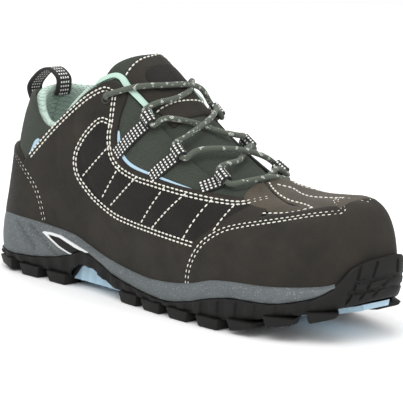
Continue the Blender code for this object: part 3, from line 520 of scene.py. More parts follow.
def aroundAt(share, angle):  # distance round the last from its ridge
    i = np.clip((share * 120).astype(int), 0, 119)
    j = np.clip(angle.astype(int), 0, 179)
    u, v = share * 120 - i, angle - j
    low = gridRound[i, j] * (1 - v) + gridRound[i, j + 1] * v
    high = gridRound[i + 1, j] * (1 - v) + gridRound[i + 1, j + 1] * v
    return low * (1 - u) + high * u


def thicken(name, patch, outer, inner, finishes, nodes=(), regions=None, uv=None, sharp=42):
    # closed piece between two distances out of the form
    base = spots(patch)
    count = len(base)
    _, first, welded = np.unique(np.round(base, 7), axis=0, return_index=True, return_inverse=True)
    welded = first[welded.ravel()]
    tris = welded[patch["tris"]]
    whole = (tris[:, 0] != tris[:, 1]) & (tris[:, 1] != tris[:, 2]) & (tris[:, 0] != tris[:, 2])
    tris = tris[whole]
    edges = np.concatenate([tris[:, [0, 1]], tris[:, [1, 2]], tris[:, [2, 0]]])
    keys = edges[:, 0].astype(np.int64) * count + edges[:, 1]
    backs = edges[:, 1].astype(np.int64) * count + edges[:, 0]
    border = edges[~np.isin(keys, backs)]
    outside = patch["form"](patch["a"], patch["b"], outer)
    inside = patch["form"](patch["a"], patch["b"], inner)
    i, j = border[:, 0], border[:, 1]
    walls = np.concatenate([np.stack([j, i, i + count], -1), np.stack([j, i + count, j + count], -1)])
    faces = np.concatenate([tris, tris[:, ::-1] + count, walls])
    if uv is None:
        uv = np.stack([patch["a"] * last["length"], aroundAt(patch["a"], patch["b"])], -1)
    faceSlots = None
    if regions is not None:
        chosen = regions[whole]
        faceSlots = np.concatenate([chosen, 0 * chosen, np.zeros(len(walls), int)])
    used, index = np.unique(faces, return_inverse=True)
    points, uv = np.concatenate([outside, inside])[used], np.concatenate([uv, uv])[used]
    return addMesh(name, points, index.reshape(-1, 3), finishes, nodes, uv, faceSlots, sharp)


print("last and patches ready")

# finishes


def addNode(tree, kind, inputs=None, **settings):
    made = tree.nodes.new(kind)
    for key, value in settings.items():
        setattr(made, key, value)
    for key, value in (inputs or {}).items():
        if isinstance(value, bpy.types.NodeSocket):
            tree.links.new(value, made.inputs[key])
        else:
            made.inputs[key].default_value = value
    return made


def startFinish(name, roughness=0.7, specular=0.4, sheen=0.0):
    finish = bpy.data.materials.new(name)
    finish.use_nodes = True
    tree = finish.node_tree
    shader = tree.nodes["Principled BSDF"]
    shader.inputs["Roughness"].default_value = roughness
    shader.inputs["Specular IOR Level"].default_value = specular
    shader.inputs["Sheen Weight"].default_value = sheen
    shader.inputs["Sheen Roughness"].default_value = 0.5
    return finish, tree, shader


def objectPlace(tree):
    return addNode(tree, "ShaderNodeTexCoord").outputs["Object"]


def surfacePlace(tree, scale=1000.0):  # the piece's own UV map, in millimetres
    place = addNode(tree, "ShaderNodeUVMap", uv_map="surface").outputs["UV"]
    return addNode(tree, "ShaderNodeVectorMath", {0: place, 3: scale}, operation="SCALE").outputs[0]


def noiseOf(tree, place, scale, detail=3.0, roughness=0.6):
    inputs = {"Vector": place, "Scale": scale, "Detail": detail, "Roughness": roughness}
    return addNode(tree, "ShaderNodeTexNoise", inputs).outputs["Fac"]


def mathOf(tree, operation, *values):
    return addNode(tree, "ShaderNodeMath", dict(enumerate(values)), operation=operation).outputs[0]


def remap(tree, value, low, high, toLow=0.0, toHigh=1.0):
    inputs = {"Value": value, "From Min": low, "From Max": high, "To Min": toLow, "To Max": toHigh}
    return addNode(tree, "ShaderNodeMapRange", inputs).outputs["Result"]


def mixOf(tree, factor, first, second):
    made = addNode(tree, "ShaderNodeMix", data_type="RGBA")
    for socket, value in (("Factor", factor), ("A", first), ("B", second)):
        target = [item for item in made.inputs if item.name == socket and item.enabled][0]
        if isinstance(value, bpy.types.NodeSocket):
            tree.links.new(value, target)
        else:
            target.default_value = value if socket == "Factor" else (*value, 1)
    return [item for item in made.outputs if item.enabled][0]


def bumpOf(tree, shader, height, strength, distance):
    inputs = {"Height": height, "Strength": strength, "Distance": distance}
    tree.links.new(addNode(tree, "ShaderNodeBump", inputs).outputs["Normal"], shader.inputs["Normal"])


def waveOf(tree, value, period):  # from 0 to 1 and back over a period
    turn = mathOf(tree, "MULTIPLY", value, 2 * math.pi / period)
    return mathOf(tree, "MULTIPLY_ADD", mathOf(tree, "SINE", turn), 0.5, 0.5)


def makeLeather(name, dark, light, roughness=0.78):
    finish, tree, shader = startFinish(name, roughness, 0.24, sheen=0.02)
    place = objectPlace(tree)
    clouds = noiseOf(tree, place, 48, 5, 0.62)
    grain = noiseOf(tree, place, 620, 4, 0.65)
    cells = addNode(tree, "ShaderNodeTexVoronoi", {"Vector": place, "Scale": 900}, feature="F1")
    pores = cells.outputs["Distance"]
    tone = mathOf(tree, "ADD", mathOf(tree, "MULTIPLY", clouds, 0.65), mathOf(tree, "MULTIPLY", grain, 0.35))
    colour = mixOf(tree, remap(tree, tone, 0.36, 0.64), dark, light)
    specks = remap(tree, pores, 0.0, 0.30, 0.72, 1.0)
    dim = addNode(tree, "ShaderNodeVectorMath", {0: colour}, operation="SCALE")
    tree.links.new(specks, dim.inputs[3])
    tree.links.new(dim.outputs[0], shader.inputs["Base Color"])
    worn = remap(tree, grain, 0.3, 0.7, roughness - 0.10, roughness + 0.10)
    tree.links.new(worn, shader.inputs["Roughness"])
    height = mathOf(tree, "ADD", mathOf(tree, "MULTIPLY", grain, 0.7), mathOf(tree, "MULTIPLY", pores, 0.5))
    bumpOf(tree, shader, height, 0.55, 0.0005)
    return finish


def makeWeave(name, dark, light, period):
    finish, tree, shader = startFinish(name, 0.95, 0.12, sheen=0.05)
    split = addNode(tree, "ShaderNodeSeparateXYZ", {0: surfacePlace(tree)})
    across, along = waveOf(tree, split.outputs[0], period), waveOf(tree, split.outputs[1], period)
    checks = mathOf(tree, "ABSOLUTE", mathOf(tree, "SUBTRACT", across, along))
    fuzz = noiseOf(tree, objectPlace(tree), 900, 3)
    tone = mathOf(tree, "ADD", mathOf(tree, "MULTIPLY", checks, 0.6), mathOf(tree, "MULTIPLY", fuzz, 0.5))
    tree.links.new(mixOf(tree, remap(tree, tone, 0.15, 0.85), dark, light), shader.inputs["Base Color"])
    bumpOf(tree, shader, tone, 0.6, 0.0006)
    return finish


def makeMeshCloth(name, base, hole, period):
    finish, tree, shader = startFinish(name, 0.9, 0.2, sheen=0.2)
    split = addNode(tree, "ShaderNodeSeparateXYZ", {0: surfacePlace(tree)})
    row = mathOf(tree, "FLOOR", mathOf(tree, "DIVIDE", split.outputs[1], period))
    slide = mathOf(tree, "MULTIPLY_ADD", row, 0.5 * period, split.outputs[0])
    squares = []
    for value in (slide, split.outputs[1]):
        offset = mathOf(tree, "SUBTRACT", mathOf(tree, "FRACT", mathOf(tree, "DIVIDE", value, period)), 0.5)
        squares.append(mathOf(tree, "MULTIPLY", offset, offset))
    solid = remap(tree, mathOf(tree, "SQRT", mathOf(tree, "ADD", *squares)), 0.20, 0.30)
    fuzz = noiseOf(tree, objectPlace(tree), 1200, 2)
    cloth = mixOf(tree, fuzz, tuple(0.86 * c for c in base), base)
    tree.links.new(mixOf(tree, solid, hole, cloth), shader.inputs["Base Color"])
    bumpOf(tree, shader, mathOf(tree, "MULTIPLY_ADD", fuzz, 0.3, solid), 0.6, 0.0005)
    return finish


def makeRubber(name, dark, light, roughness, specks=None):
    finish, tree, shader = startFinish(name, roughness, 0.26)
    place = objectPlace(tree)
    dust, pits = noiseOf(tree, place, 90, 4), noiseOf(tree, place, 1400, 2, 0.5)
    colour = mixOf(tree, remap(tree, dust, 0.3, 0.7), dark, light)
    if specks:
        colour = mixOf(tree, remap(tree, noiseOf(tree, place, 1100, 2, 0.5), 0.60, 0.66), colour, specks)
    tree.links.new(colour, shader.inputs["Base Color"])
    worn = remap(tree, dust, 0.3, 0.7, roughness - 0.08, roughness + 0.08)
    tree.links.new(worn, shader.inputs["Roughness"])
    bumpOf(tree, shader, pits, 0.3, 0.0003)
    return finish


def makeWebbing(name, base, dash, rows=(-2.75, -0.92, 0.92, 2.75), period=2.3):
    finish, tree, shader = startFinish(name, 0.85, 0.25, sheen=0.1)
    split = addNode(tree, "ShaderNodeSeparateXYZ", {0: surfacePlace(tree)})
    along, across = split.outputs[0], split.outputs[1]
    marks = None
    for row in rows:
        near = mathOf(tree, "ABSOLUTE", mathOf(tree, "SUBTRACT", across, row))
        near = mathOf(tree, "LESS_THAN", near, 0.52)
        phase = mathOf(tree, "FRACT", mathOf(tree, "DIVIDE", along, period))
        drawn = mathOf(tree, "MULTIPLY", near, mathOf(tree, "LESS_THAN", phase, 0.44))
        marks = drawn if marks is None else mathOf(tree, "MAXIMUM", marks, drawn)
    ribs = waveOf(tree, along, 0.65)
    fuzz = noiseOf(tree, objectPlace(tree), 1500, 2)
    cloth = mixOf(tree, fuzz, tuple(0.6 * c for c in base), tuple(1.3 * c for c in base))
    tree.links.new(mixOf(tree, marks, cloth, dash), shader.inputs["Base Color"])
    bumpOf(tree, shader, mathOf(tree, "ADD", mathOf(tree, "MULTIPLY", ribs, 0.5), marks), 0.6, 0.0004)
    return finish


def makeBraid(name, dark, light, fleck):
    finish, tree, shader = startFinish(name, 0.92, 0.2, sheen=0.15)
    split = addNode(tree, "ShaderNodeSeparateXYZ", {0: surfacePlace(tree)})
    along, around = split.outputs[0], split.outputs[1]
    left = waveOf(tree, mathOf(tree, "ADD", along, around), 1.35)
    right = waveOf(tree, mathOf(tree, "SUBTRACT", along, around), 1.35)
    plait = mathOf(tree, "MAXIMUM", left, right)
    inputs = {"Vector": surfacePlace(tree), "Scale": 0.62}
    cells = addNode(tree, "ShaderNodeTexVoronoi", inputs, feature="F1")
    chosen = addNode(tree, "ShaderNodeSeparateColor", {0: cells.outputs["Color"]}).outputs[0]
    flecks = mathOf(tree, "GREATER_THAN", chosen, 0.86)
    colour = mixOf(tree, plait, dark, light)
    spot = mathOf(tree, "MULTIPLY", flecks, remap(tree, plait, 0.4, 0.8))
    tree.links.new(mixOf(tree, spot, colour, fleck), shader.inputs["Base Color"])
    bumpOf(tree, shader, plait, 0.8, 0.0005)
    return finish


def makePlain(name, base, roughness, specular, fine=1500):
    finish, tree, shader = startFinish(name, roughness, specular)
    cloud = noiseOf(tree, objectPlace(tree), fine, 3)
    tree.links.new(mixOf(tree, cloud, tuple(0.88 * c for c in base), base), shader.inputs["Base Color"])
    bumpOf(tree, shader, cloud, 0.15, 0.0002)
    return finish


finishes = {
    "leather": makeLeather("brownLeather", (0.0140, 0.0120, 0.0092), (0.0280, 0.0240, 0.0188)),
    "darkLeather": makeLeather("darkLeather", (0.0065, 0.0055, 0.0045), (0.0135, 0.0115, 0.0095)),
    "saddle": makeLeather("saddleLeather", (0.040, 0.033, 0.025), (0.078, 0.066, 0.050)),
    "textile": makeWeave("greenTextile", (0.026, 0.032, 0.025), (0.070, 0.080, 0.066), 1.0),
    "lining": makeMeshCloth("mintMesh", (0.50, 0.64, 0.56), (0.27, 0.37, 0.32), 1.7),
    "foam": makeRubber(
        "greyMidsole", (0.082, 0.093, 0.097), (0.106, 0.119, 0.124), 0.60, (0.18, 0.195, 0.20)
    ),
    "rubber": makeRubber("blackRubber", (0.004, 0.0036, 0.0034), (0.009, 0.0082, 0.0076), 0.66),
    "blue": makeRubber("blueRubber", (0.36, 0.52, 0.64), (0.48, 0.66, 0.78), 0.45),
    "trim": makePlain("silverTrim", (0.70, 0.72, 0.72), 0.38, 0.5, 900),
    "webbing": makeWebbing("dashedWebbing", (0.020, 0.020, 0.020), (0.78, 0.78, 0.74)),
    "braid": makeBraid("braidedLace", (0.030, 0.036, 0.028), (0.120, 0.140, 0.110), (0.62, 0.65, 0.58)),
    "insole": makeWeave("insoleCloth", (0.030, 0.033, 0.032), (0.075, 0.082, 0.078), 1.1),
    "thread": makePlain("creamThread", (0.80, 0.78, 0.70), 0.7, 0.3, 2500),
    "mint": makePlain("mintBinding", (0.45, 0.62, 0.53), 0.8, 0.2),
    "skyBlue": makePlain("blueBinding", (0.40, 0.56, 0.68), 0.7, 0.25),
    # near-black finish: painted shade along the saddle's slits, where the saddle's raised edge casts its
    # shadow
    "slitShade": makePlain("paintedSlitShade", (0.012, 0.011, 0.010), 0.8, 0.25),
    "eyelet": makePlain("blackEyelet", (0.010, 0.010, 0.010), 0.4, 0.5, 600),
}
print("finishes made")

# outlines of the upper's pieces seen from the side: share along the last, share of the collar's height
topline = [
    (-0.090, 0.990), (0.051, 1.000), (0.084, 1.005), (0.113, 0.975), (0.139, 0.900), (0.164, 0.848),
    (0.190, 0.840), (0.215, 0.886), (0.252, 0.990), (0.299, 1.095), (0.343, 1.155), (0.365, 1.155),
    (0.390, 1.110), (0.427, 1.055), (0.467, 0.990), (0.522, 0.900), (0.577, 0.810), (0.631, 0.740),
    (0.675, 0.695), (0.700, 0.692), (0.715, 0.760),
]
quarterEdge = [
    (0.105, 0.600), (0.150, 0.725), (0.190, 0.820), (0.245, 0.955), (0.299, 1.075), (0.343, 1.135),
    (0.366, 1.130), (0.398, 1.080), (0.396, 0.960), (0.398, 0.860), (0.408, 0.785), (0.428, 0.740),
    (0.458, 0.711), (0.522, 0.691), (0.588, 0.671), (0.650, 0.658), (0.705, 0.650), (0.745, 0.655),
    (0.790, 0.640),
]
capEdge = [
    (0.642, 0.100), (0.642, 0.248), (0.650, 0.305), (0.661, 0.371), (0.682, 0.440), (0.715, 0.515),
    (0.763, 0.562), (0.847, 0.624), (0.915, 0.672), (0.932, 0.688), (0.936, 0.860),
]
counterEdge = [
    (0.040, 0.700), (0.080, 0.672), (0.111, 0.626), (0.138, 0.574), (0.164, 0.508), (0.182, 0.430),
    (0.194, 0.350), (0.204, 0.220),
]
saddleEdge = [(0.718, 0.860), (0.714, 0.700), (0.722, 0.645), (0.745, 0.622), (0.776, 0.608), (0.806, 0.606)]
tongueTop = [(0.322, 1.060), (0.320, 1.130), (0.332, 1.200), (0.354, 1.246), (0.380, 1.277), (0.412, 1.290)]
tongueFoot = [
    (0.735, 0.500), (0.690, 0.560), (0.624, 0.610), (0.551, 0.690), (0.467, 0.830), (0.400, 0.930),
    (0.345, 1.000),
]


def corner(share, height):
    return np.array((share * last["length"], height * last["collar"]))


def rimLine(start, end, rise, count=60):
    shares = np.linspace(start, end, count)
    x = shares * (last["length"] + 0.006) - 0.003 + leanAt(shares, last["sole"])
    return np.stack([x, rimAt(shares) * last["sole"] + rise], -1)


def moveBeside(line, distance):
    run = np.gradient(line, axis=0)
    left = np.stack([-run[:, 1], run[:, 0]], -1)
    return line + left / np.linalg.norm(left, axis=1)[:, None] * distance


def lastShares(low, high, step=0.0017):  # shares along the last, closer together at the rounded ends
    t = np.linspace(0, math.pi, 700)
    shares = 0.5 - 0.5 * np.cos(t)
    run = runAlong(lastPoint(shares, 12.0 + 0 * t, 0.0))
    start, end = np.interp(low, shares, run), np.interp(high, shares, run)
    return np.interp(np.linspace(start, end, max(int((end - start) / step), 2)), run, shares)


def lastAngles(low, high, step=0.90):  # closer together low on the sides, where the last is tall
    even = np.linspace(0, 90, int(90 / step))
    half = even * (0.55 + 0.45 * even / 90)
    whole = np.concatenate([half, 180 - half[-2::-1]])
    return np.concatenate([[low], whole[(whole > low) & (whole < high)], [high]])


# stitch lines. side: share along, share of the collar's height. turn: share along, angle round the last
stitchRows = {
    "apart": 0.0021,
    "step": 0.0008,
    "furrow": 0.00022,
    "furrowWidth": 0.0007,
    "swell": 0.0003,
    "swellWidth": 0.004,
    "size": {"Pitch": 0.0031, "Length": 0.0026, "Thickness": 0.00095},
}
capRear = [
    (0.651, 0.200), (0.651, 0.245), (0.656, 0.300), (0.665, 0.355), (0.678, 0.410), (0.695, 0.452),
    (0.720, 0.495), (0.752, 0.525), (0.800, 0.558), (0.850, 0.592), (0.895, 0.624), (0.925, 0.640),
]
capTip = [(0.933, 58.5), (0.932, 63), (0.914, 67), (0.899, 73), (0.900, 78)]
capRidge = [(0.902, 79), (0.918, 79.5), (0.932, 83), (0.942, 88), (0.949, 98)]
throatRow = [
    (0.372, 1.050), (0.377, 0.930), (0.376, 0.870), (0.380, 0.810), (0.392, 0.745), (0.420, 0.695),
    (0.470, 0.664), (0.515, 0.655), (0.560, 0.645), (0.610, 0.634), (0.668, 0.622), (0.712, 0.620),
    (0.740, 0.634), (0.763, 0.655),
]
midPanel = [
    (0.374, 0.925), (0.346, 0.930), (0.318, 0.872), (0.296, 0.803), (0.281, 0.729), (0.280, 0.664),
    (0.291, 0.604), (0.321, 0.545), (0.352, 0.499), (0.410, 0.445), (0.470, 0.425), (0.526, 0.417),
    (0.590, 0.408), (0.650, 0.398),
]
panelBars = [
    [(0.380, 0.800), (0.309, 0.621)],
    [(0.415, 0.700), (0.373, 0.533)],
    [(0.470, 0.668), (0.401, 0.499)],
    [(0.552, 0.642), (0.502, 0.453)],
    [(0.606, 0.630), (0.538, 0.439)],
    [(0.664, 0.616), (0.630, 0.427)],
    [(0.714, 0.604), (0.698, 0.491)],
]
quarterTop = [(0.140, 0.670), (0.208, 0.838), (0.258, 0.950), (0.303, 1.040), (0.340, 1.090), (0.362, 1.082)]
counterRow = [
    (0.066, 0.650), (0.090, 0.625), (0.114, 0.592), (0.139, 0.540), (0.160, 0.484), (0.175, 0.412),
    (0.186, 0.330),
]
saddleRow = [
    (0.727, 79), (0.742, 76), (0.772, 71.5), (0.806, 68.5), (0.835, 67), (0.862, 63.5), (0.872, 61.5),
]
saddleFoot = [(0.872, 61), (0.855, 58), (0.830, 56), (0.805, 54.5), (0.785, 53)]
saddleTop = [(0.742, 82), (0.770, 84), (0.800, 80.5), (0.828, 78.5), (0.860, 78), (0.888, 78.5)]


def outAt(share, angle):  # direction straight out of the last
    share = np.clip(share, 0.003, 0.997)
    along = lastPoint(share + 0.002, angle, 0.0) - lastPoint(share - 0.002, angle, 0.0)
    around = lastPoint(share, angle + 0.5, 0.0) - lastPoint(share, angle - 0.5, 0.0)
    return unitRows(np.cross(along, around))


def lineOn(rows, side, kind="side"):  # even points on the last, with the way out at each
    if kind == "side":
        flat = evenLine(sideOutline(rows), 0.001)
        share, angle = fromSide(flat[:, 0], flat[:, 1], side, skin)
    else:
        share, angle = smoothLine(rows).T
        angle = angle if side < 0 else 180 - angle
    run = runAlong(lastPoint(share, angle, skin))
    where = np.linspace(0, run[-1], max(int(run[-1] / stitchRows["step"]), 2))
    share, angle = np.interp(where, run, share), np.interp(where, run, angle)
    return np.concatenate([lastPoint(share, angle, skin), outAt(share, angle)], axis=1)


def doubleRows(line):
    run = unitRows(np.gradient(line[:, :3], axis=0))
    aside = np.cross(run, line[:, 3:]) * stitchRows["apart"] / 2
    return [line[:, :3] + aside, line[:, :3] - aside]


def makeStitchTree():
    tree = bpy.data.node_groups.new("stitchTree", "GeometryNodeTree")
    face = tree.interface
    face.new_socket("Geometry", in_out="INPUT", socket_type="NodeSocketGeometry")
    for label, value in stitchRows["size"].items():
        face.new_socket(label, in_out="INPUT", socket_type="NodeSocketFloat").default_value = value
    face.new_socket("Thread", in_out="INPUT", socket_type="NodeSocketMaterial")
    face.new_socket("Geometry", in_out="OUTPUT", socket_type="NodeSocketGeometry")
    start = tree.nodes.new("NodeGroupInput")
    end = tree.nodes.new("NodeGroupOutput")
    line = addNode(tree, "GeometryNodeMeshToCurve", {"Mesh": start.outputs["Geometry"]})
    spread = addNode(tree, "GeometryNodeResampleCurve", {"Curve": line.outputs["Curve"]}, mode="LENGTH")
    tree.links.new(start.outputs["Pitch"], spread.inputs["Length"])
    tangent = addNode(tree, "GeometryNodeInputTangent")
    turn = addNode(tree, "FunctionNodeAlignRotationToVector", {"Vector": tangent.outputs[0]}, axis="X")
    bead = addNode(tree, "GeometryNodeMeshUVSphere", {"Segments": 6, "Rings": 5, "Radius": 0.5})
    size = addNode(tree, "ShaderNodeCombineXYZ", {0: start.outputs["Length"], 1: start.outputs["Thickness"]})
    tree.links.new(start.outputs["Thickness"], size.inputs[2])
    joined = (("Points", spread), ("Instance", bead), ("Rotation", turn), ("Scale", size))
    laid = addNode(tree, "GeometryNodeInstanceOnPoints", {key: node.outputs[0] for key, node in joined})
    real = addNode(tree, "GeometryNodeRealizeInstances", {0: laid.outputs[0]})
    inputs = {"Geometry": real.outputs[0], "Material": start.outputs["Thread"]}
    coat = addNode(tree, "GeometryNodeSetMaterial", inputs)
    tree.links.new(coat.outputs[0], end.inputs[0])
    return tree


stitchTree = makeStitchTree()


def addStitches(name, lines):
    points, edges = [], []
    for line in lines:
        edges += [(len(points) + i, len(points) + i + 1) for i in range(len(line) - 1)]
        points += (np.asarray(line) + lastPlace).tolist()
    mesh = bpy.data.meshes.new(name + "Lines")
    mesh.from_pydata(points, edges, [])
    guide = bpy.data.objects.new(name + "Lines", mesh)
    bpy.context.scene.collection.objects.link(guide)
    change = guide.modifiers.new("stitches", "NODES")
    change.node_group = stitchTree
    values = {**stitchRows["size"], "Thread": finishes["thread"]}
    for item in stitchTree.interface.items_tree:
        if item.in_out == "INPUT" and item.name in values:
            change[item.identifier] = values[item.name]
    bpy.context.view_layer.update()
    seen = guide.evaluated_get(bpy.context.evaluated_depsgraph_get())
    made = bpy.data.meshes.new_from_object(seen)
    made.polygons.foreach_set("use_smooth", [True] * len(made.polygons))
    bpy.data.objects.remove(guide, do_unlink=True)
    linkPiece(name, made)


panelLook = {
    "inside": 0.0003,
    "levels": (0.0004, 0.0010),
    "reaches": (0.0020, 0.0012),
    "edgeWidth": 0.0012,
    "edgeDrop": 0.0006,
    "foot": -0.0030,
    "tuck": -0.0030,
}


def holeField(middle, radius):
    def field(patch):
        return np.linalg.norm(spots(patch) - middle, axis=1) - radius

    return field


def layPanel(name, shares, angles, outline, lines, look, nodes, top, holes=(), region=None):
    # leather piece: cut by its outline, finer along its seams, with furrows, swell and a rounded edge
    field = sideField(outline)
    patch = keepInside(makePatch(shares, angles, lastPoint), field)
    for middle in holes:
        patch = keepInside(patch, holeField(middle, eyeletSpot["radius"]))
    for level in panelLook["levels"]:
        patch = splitAlong(patch, field(patch) - level)
    joined = [line[::2] for line in lines]
    patch = finerAlong(patch, joined, panelLook["reaches"])
    regions = None
    if region is not None:
        patch = splitAlong(patch, region(patch))
        regions = (region(patch)[patch["tris"]].sum(axis=1) > 0).astype(int)
    rows = linesAway(spots(patch), joined)
    outer = top - stitchRows["furrow"] * dent(rows, stitchRows["furrowWidth"])
    outer += stitchRows["swell"] * (1 - dent(rows, stitchRows["swellWidth"]))
    outer += creaseDepth(spots(patch), name)
    outer -= panelLook["edgeDrop"] * rounding(field(patch), panelLook["edgeWidth"])
    look = [finishes[key] for key in look]
    thicken(name, patch, outer, panelLook["inside"], look, nodes, regions)
    addStitches(f"{name}Stitches", lines)


def mirrored(rows):
    return [(share, 180 - angle) for share, angle in rows]


saddleSlit = [(0.704, 80.0), (0.730, 76.0), (0.762, 71.0), (0.790, 67.5), (0.812, 65.0), (0.840, 63.0)]
capFold = [(0.720, 16.0), (0.755, 28.0), (0.800, 40.0), (0.850, 50.0)]
heelFold = [(0.030, 20.0), (0.090, 19.0), (0.150, 17.0)]
archFold = [(0.250, 38.0), (0.262, 30.0), (0.300, 22.0), (0.350, 16.0), (0.430, 11.0), (0.500, 7.0)]
quarterFolds = [
    (archFold, 0.0005, 0.0022),
    ([(0.540, 30.0), (0.575, 22.0), (0.590, 12.0)], 0.0004, 0.0026),
    ([(0.610, 30.0), (0.628, 22.0), (0.632, 12.0)], 0.0003, 0.0022),
    ([(0.200, 30.0), (0.215, 22.0), (0.230, 13.0)], 0.0003, 0.0026),
]
creases = {  # soft folds by piece: rows of (share, angle), depth, width
    "vampSaddle": [
        (saddleSlit, 0.0007, 0.0008),
        (mirrored(saddleSlit), 0.0007, 0.0008),
        ([(0.735, 84.0), (0.750, 92.0), (0.738, 100.0)], 0.0004, 0.0022),
    ],
    "toeCap": [(rows, 0.00035, 0.0034) for rows in (capFold, mirrored(capFold))],
    "heelCounter": [(rows, 0.0003, 0.0030) for rows in (heelFold, mirrored(heelFold))],
    "quarterLateral": quarterFolds,
    "quarterMedial": [(mirrored(rows[:5]), deep, wide) for rows, deep, wide in quarterFolds[:3]],
}


def creaseDepth(points, name):
    depth = np.zeros(len(points))
    for rows, deep, wide in creases[name]:
        share, angle = smoothLine(rows).T
        line = evenLine(lastPoint(share, angle, skin), 0.002)
        first, final = (np.linalg.norm(points - end, axis=1) for end in (line[0], line[-1]))
        faded = np.clip(np.minimum(first, final) / (3 * wide), 0, 1)
        depth -= deep * dent(lineDistance(points, line), wide) * faded
    return depth


def makeToeCap():
    rim = rimLine(1.08, 0.642, panelLook["foot"])
    outline = np.vstack([rim, sideOutline(capEdge)[4:], [corner(1.08, 0.9)]])
    lines = []
    for side in (-1, 1):
        lines += doubleRows(np.vstack([lineOn(capRear, side), lineOn(capTip, side, "turn")]))
        lines.append(lineOn(capRidge, side, "turn")[:-6, :3])
    shares, angles = lastShares(0.63, 1.0), lastAngles(0, 180)
    layPanel("toeCap", shares, angles, outline, lines, ["leather"], ["toe_cap"], 0.0021)


def makeCounter():
    rim = rimLine(-0.06, 0.198, panelLook["foot"])
    outline = np.vstack([rim, sideOutline(counterEdge)[::-1], [corner(-0.06, 0.69)]])
    lines = []
    for side in (-1, 1):
        lines += doubleRows(lineOn(counterRow, side))
    shares, angles = lastShares(0, 0.22), lastAngles(0, 180)
    layPanel("heelCounter", shares, angles, outline, lines, ["leather"], ["heel_counter"], 0.0021)


eyeletSpot = {"share": 0.352, "height": 1.040, "radius": 0.0023}


def eyeletPlace(side, grow=skin):
    angle = angleAt(eyeletSpot["share"], eyeletSpot["height"] * last["collar"], side)
    return lastPoint(np.array(eyeletSpot["share"]), angle, grow)


def makeQuarters():
    bottom = rimLine(0.192, 0.660, panelLook["foot"])
    cap = moveBeside(sideOutline(capEdge), panelLook["tuck"])
    counter = moveBeside(sideOutline(counterEdge), panelLook["tuck"])
    edge = sideOutline(quarterEdge)
    ahead = [p for p in cap if p[1] > bottom[-1][1] and p[0] < edge[-1][0]]
    behind = [p for p in counter if p[1] > bottom[0][1] and p[0] > 0.070 * last["length"]]
    outline = np.vstack([bottom, ahead, edge[::-1], behind])
    panel = np.vstack([sideOutline(midPanel), sideOutline(throatRow)[::-1]])
    shares, look = lastShares(0.04, 0.82), ["leather", "darkLeather"]
    for side, word, angles in ((-1, "Lateral", lastAngles(0, 90)), (1, "Medial", lastAngles(90, 180))):
        lines = []
        for rows in (throatRow, midPanel, quarterTop):
            lines += doubleRows(lineOn(rows, side))
        lines += [lineOn(rows, side)[:, :3] for rows in panelBars]
        nodes, holes = [f"quarter_{word.lower()}"], [eyeletPlace(side)]
        layPanel(f"quarter{word}", shares, angles, outline, lines, look, nodes, 0.0015, holes,
                 sideField(panel))


def makeSaddle():
    cap = moveBeside(sideOutline(capEdge), -0.0025)
    edge = sideOutline(saddleEdge)
    outline = np.vstack([edge, [p for p in cap if p[0] > edge[-1][0]]])
    lines = []
    for side in (-1, 1):
        for rows in (saddleRow, saddleFoot, saddleTop):
            lines.append(lineOn(rows, side, "turn")[:, :3])
    slits = [lastPoint(*np.array(rows).T, skin) for rows in (saddleSlit, mirrored(saddleSlit))]
    slits = [evenLine(slit, 0.001) for slit in slits]

    # faces within 0.6 mm of each slit get the near-black finish: painted shade of the saddle's raised edge
    # along the slit
    def slitShadeField(patch):
        return 0.0006 - linesAway(spots(patch), slits)

    shares, angles, look = lastShares(0.69, 0.96), lastAngles(20, 160), ["saddle", "slitShade"]
    layPanel("vampSaddle", shares, angles, outline, lines, look, ["vamp_saddle"], 0.0017,
             region=slitShadeField)


upperWall = {"thick": 0.0024, "round": 0.0009, "roundWidth": 0.0014, "levels": (0.0005, 0.0012)}


def makeUpper():
    opening = np.vstack([sideOutline(topline), [corner(0.76, 2.2)], [corner(-0.2, 2.2)]])
    inOpening = sideField(opening)

    def away(patch):
        return -inOpening(patch)

    patch = keepInside(makePatch(lastShares(0, 1, 0.0022), lastAngles(0, 180, 1.1), lastPoint), away)
    for side in (-1, 1):
        patch = keepInside(patch, holeField(eyeletPlace(side), eyeletSpot["radius"]))
    for level in upperWall["levels"]:
        patch = splitAlong(patch, away(patch) - level)
    drop = upperWall["round"] * rounding(away(patch), upperWall["roundWidth"])
    inner = drop - upperWall["thick"]
    thicken("upperShell", patch, -drop, inner, [finishes["textile"]], ["upper"])


def paddedBand(name, outline, shares, angles, depths, soft, finish, nodes):
    # padded piece between two depths in, whose free edges are full and round
    middle, half, steps = sum(depths) / 2, (depths[0] - depths[1]) / 2, 5
    field = sideField(outline, middle)
    patch = keepInside(makePatch(shares, angles, lastPoint), field)
    for i in range(1, steps):
        patch = splitAlong(patch, field(patch) - soft * (i / steps) ** 2)
    full = half * (np.sqrt(np.clip(1 - rounding(field(patch), soft), 0, 1)) * 0.94 + 0.06)
    item = thicken(name, patch, middle + full, middle - full, [finishes[finish]], nodes, sharp=70)


liningPad = {"depths": (-0.0027, -0.0079), "soft": 0.0035, "end": 0.298, "low": 0.560, "above": 0.0022}


def makeLining():
    outline = sideOutline(topline)
    front = outline[outline[:, 0] < liningPad["end"] * last["length"]] + (0, liningPad["above"])
    whole = np.vstack([front, [corner(0.300, liningPad["low"])], [corner(-0.09, liningPad["low"])]])
    shares, angles = lastShares(0, 0.36, 0.0020), lastAngles(0, 180, 1.0)
    paddedBand("collarLining", whole, shares, angles, liningPad["depths"], liningPad["soft"], "lining",
               ["collar_lining"])


tonguePad = {"depths": (-0.0029, -0.0084), "soft": 0.0030}


def makeTonguePad():
    ends = [corner(0.76, 1.29)], [corner(0.735, 0.90)]
    outline = np.vstack([sideOutline(tongueTop), *ends, sideOutline(tongueFoot)])
    shares, angles = lastShares(0.28, 0.76, 0.0020), lastAngles(15, 165, 1.0)
    paddedBand("tonguePad", outline, shares, angles, tonguePad["depths"], tonguePad["soft"], "textile",
               ["tongue"])


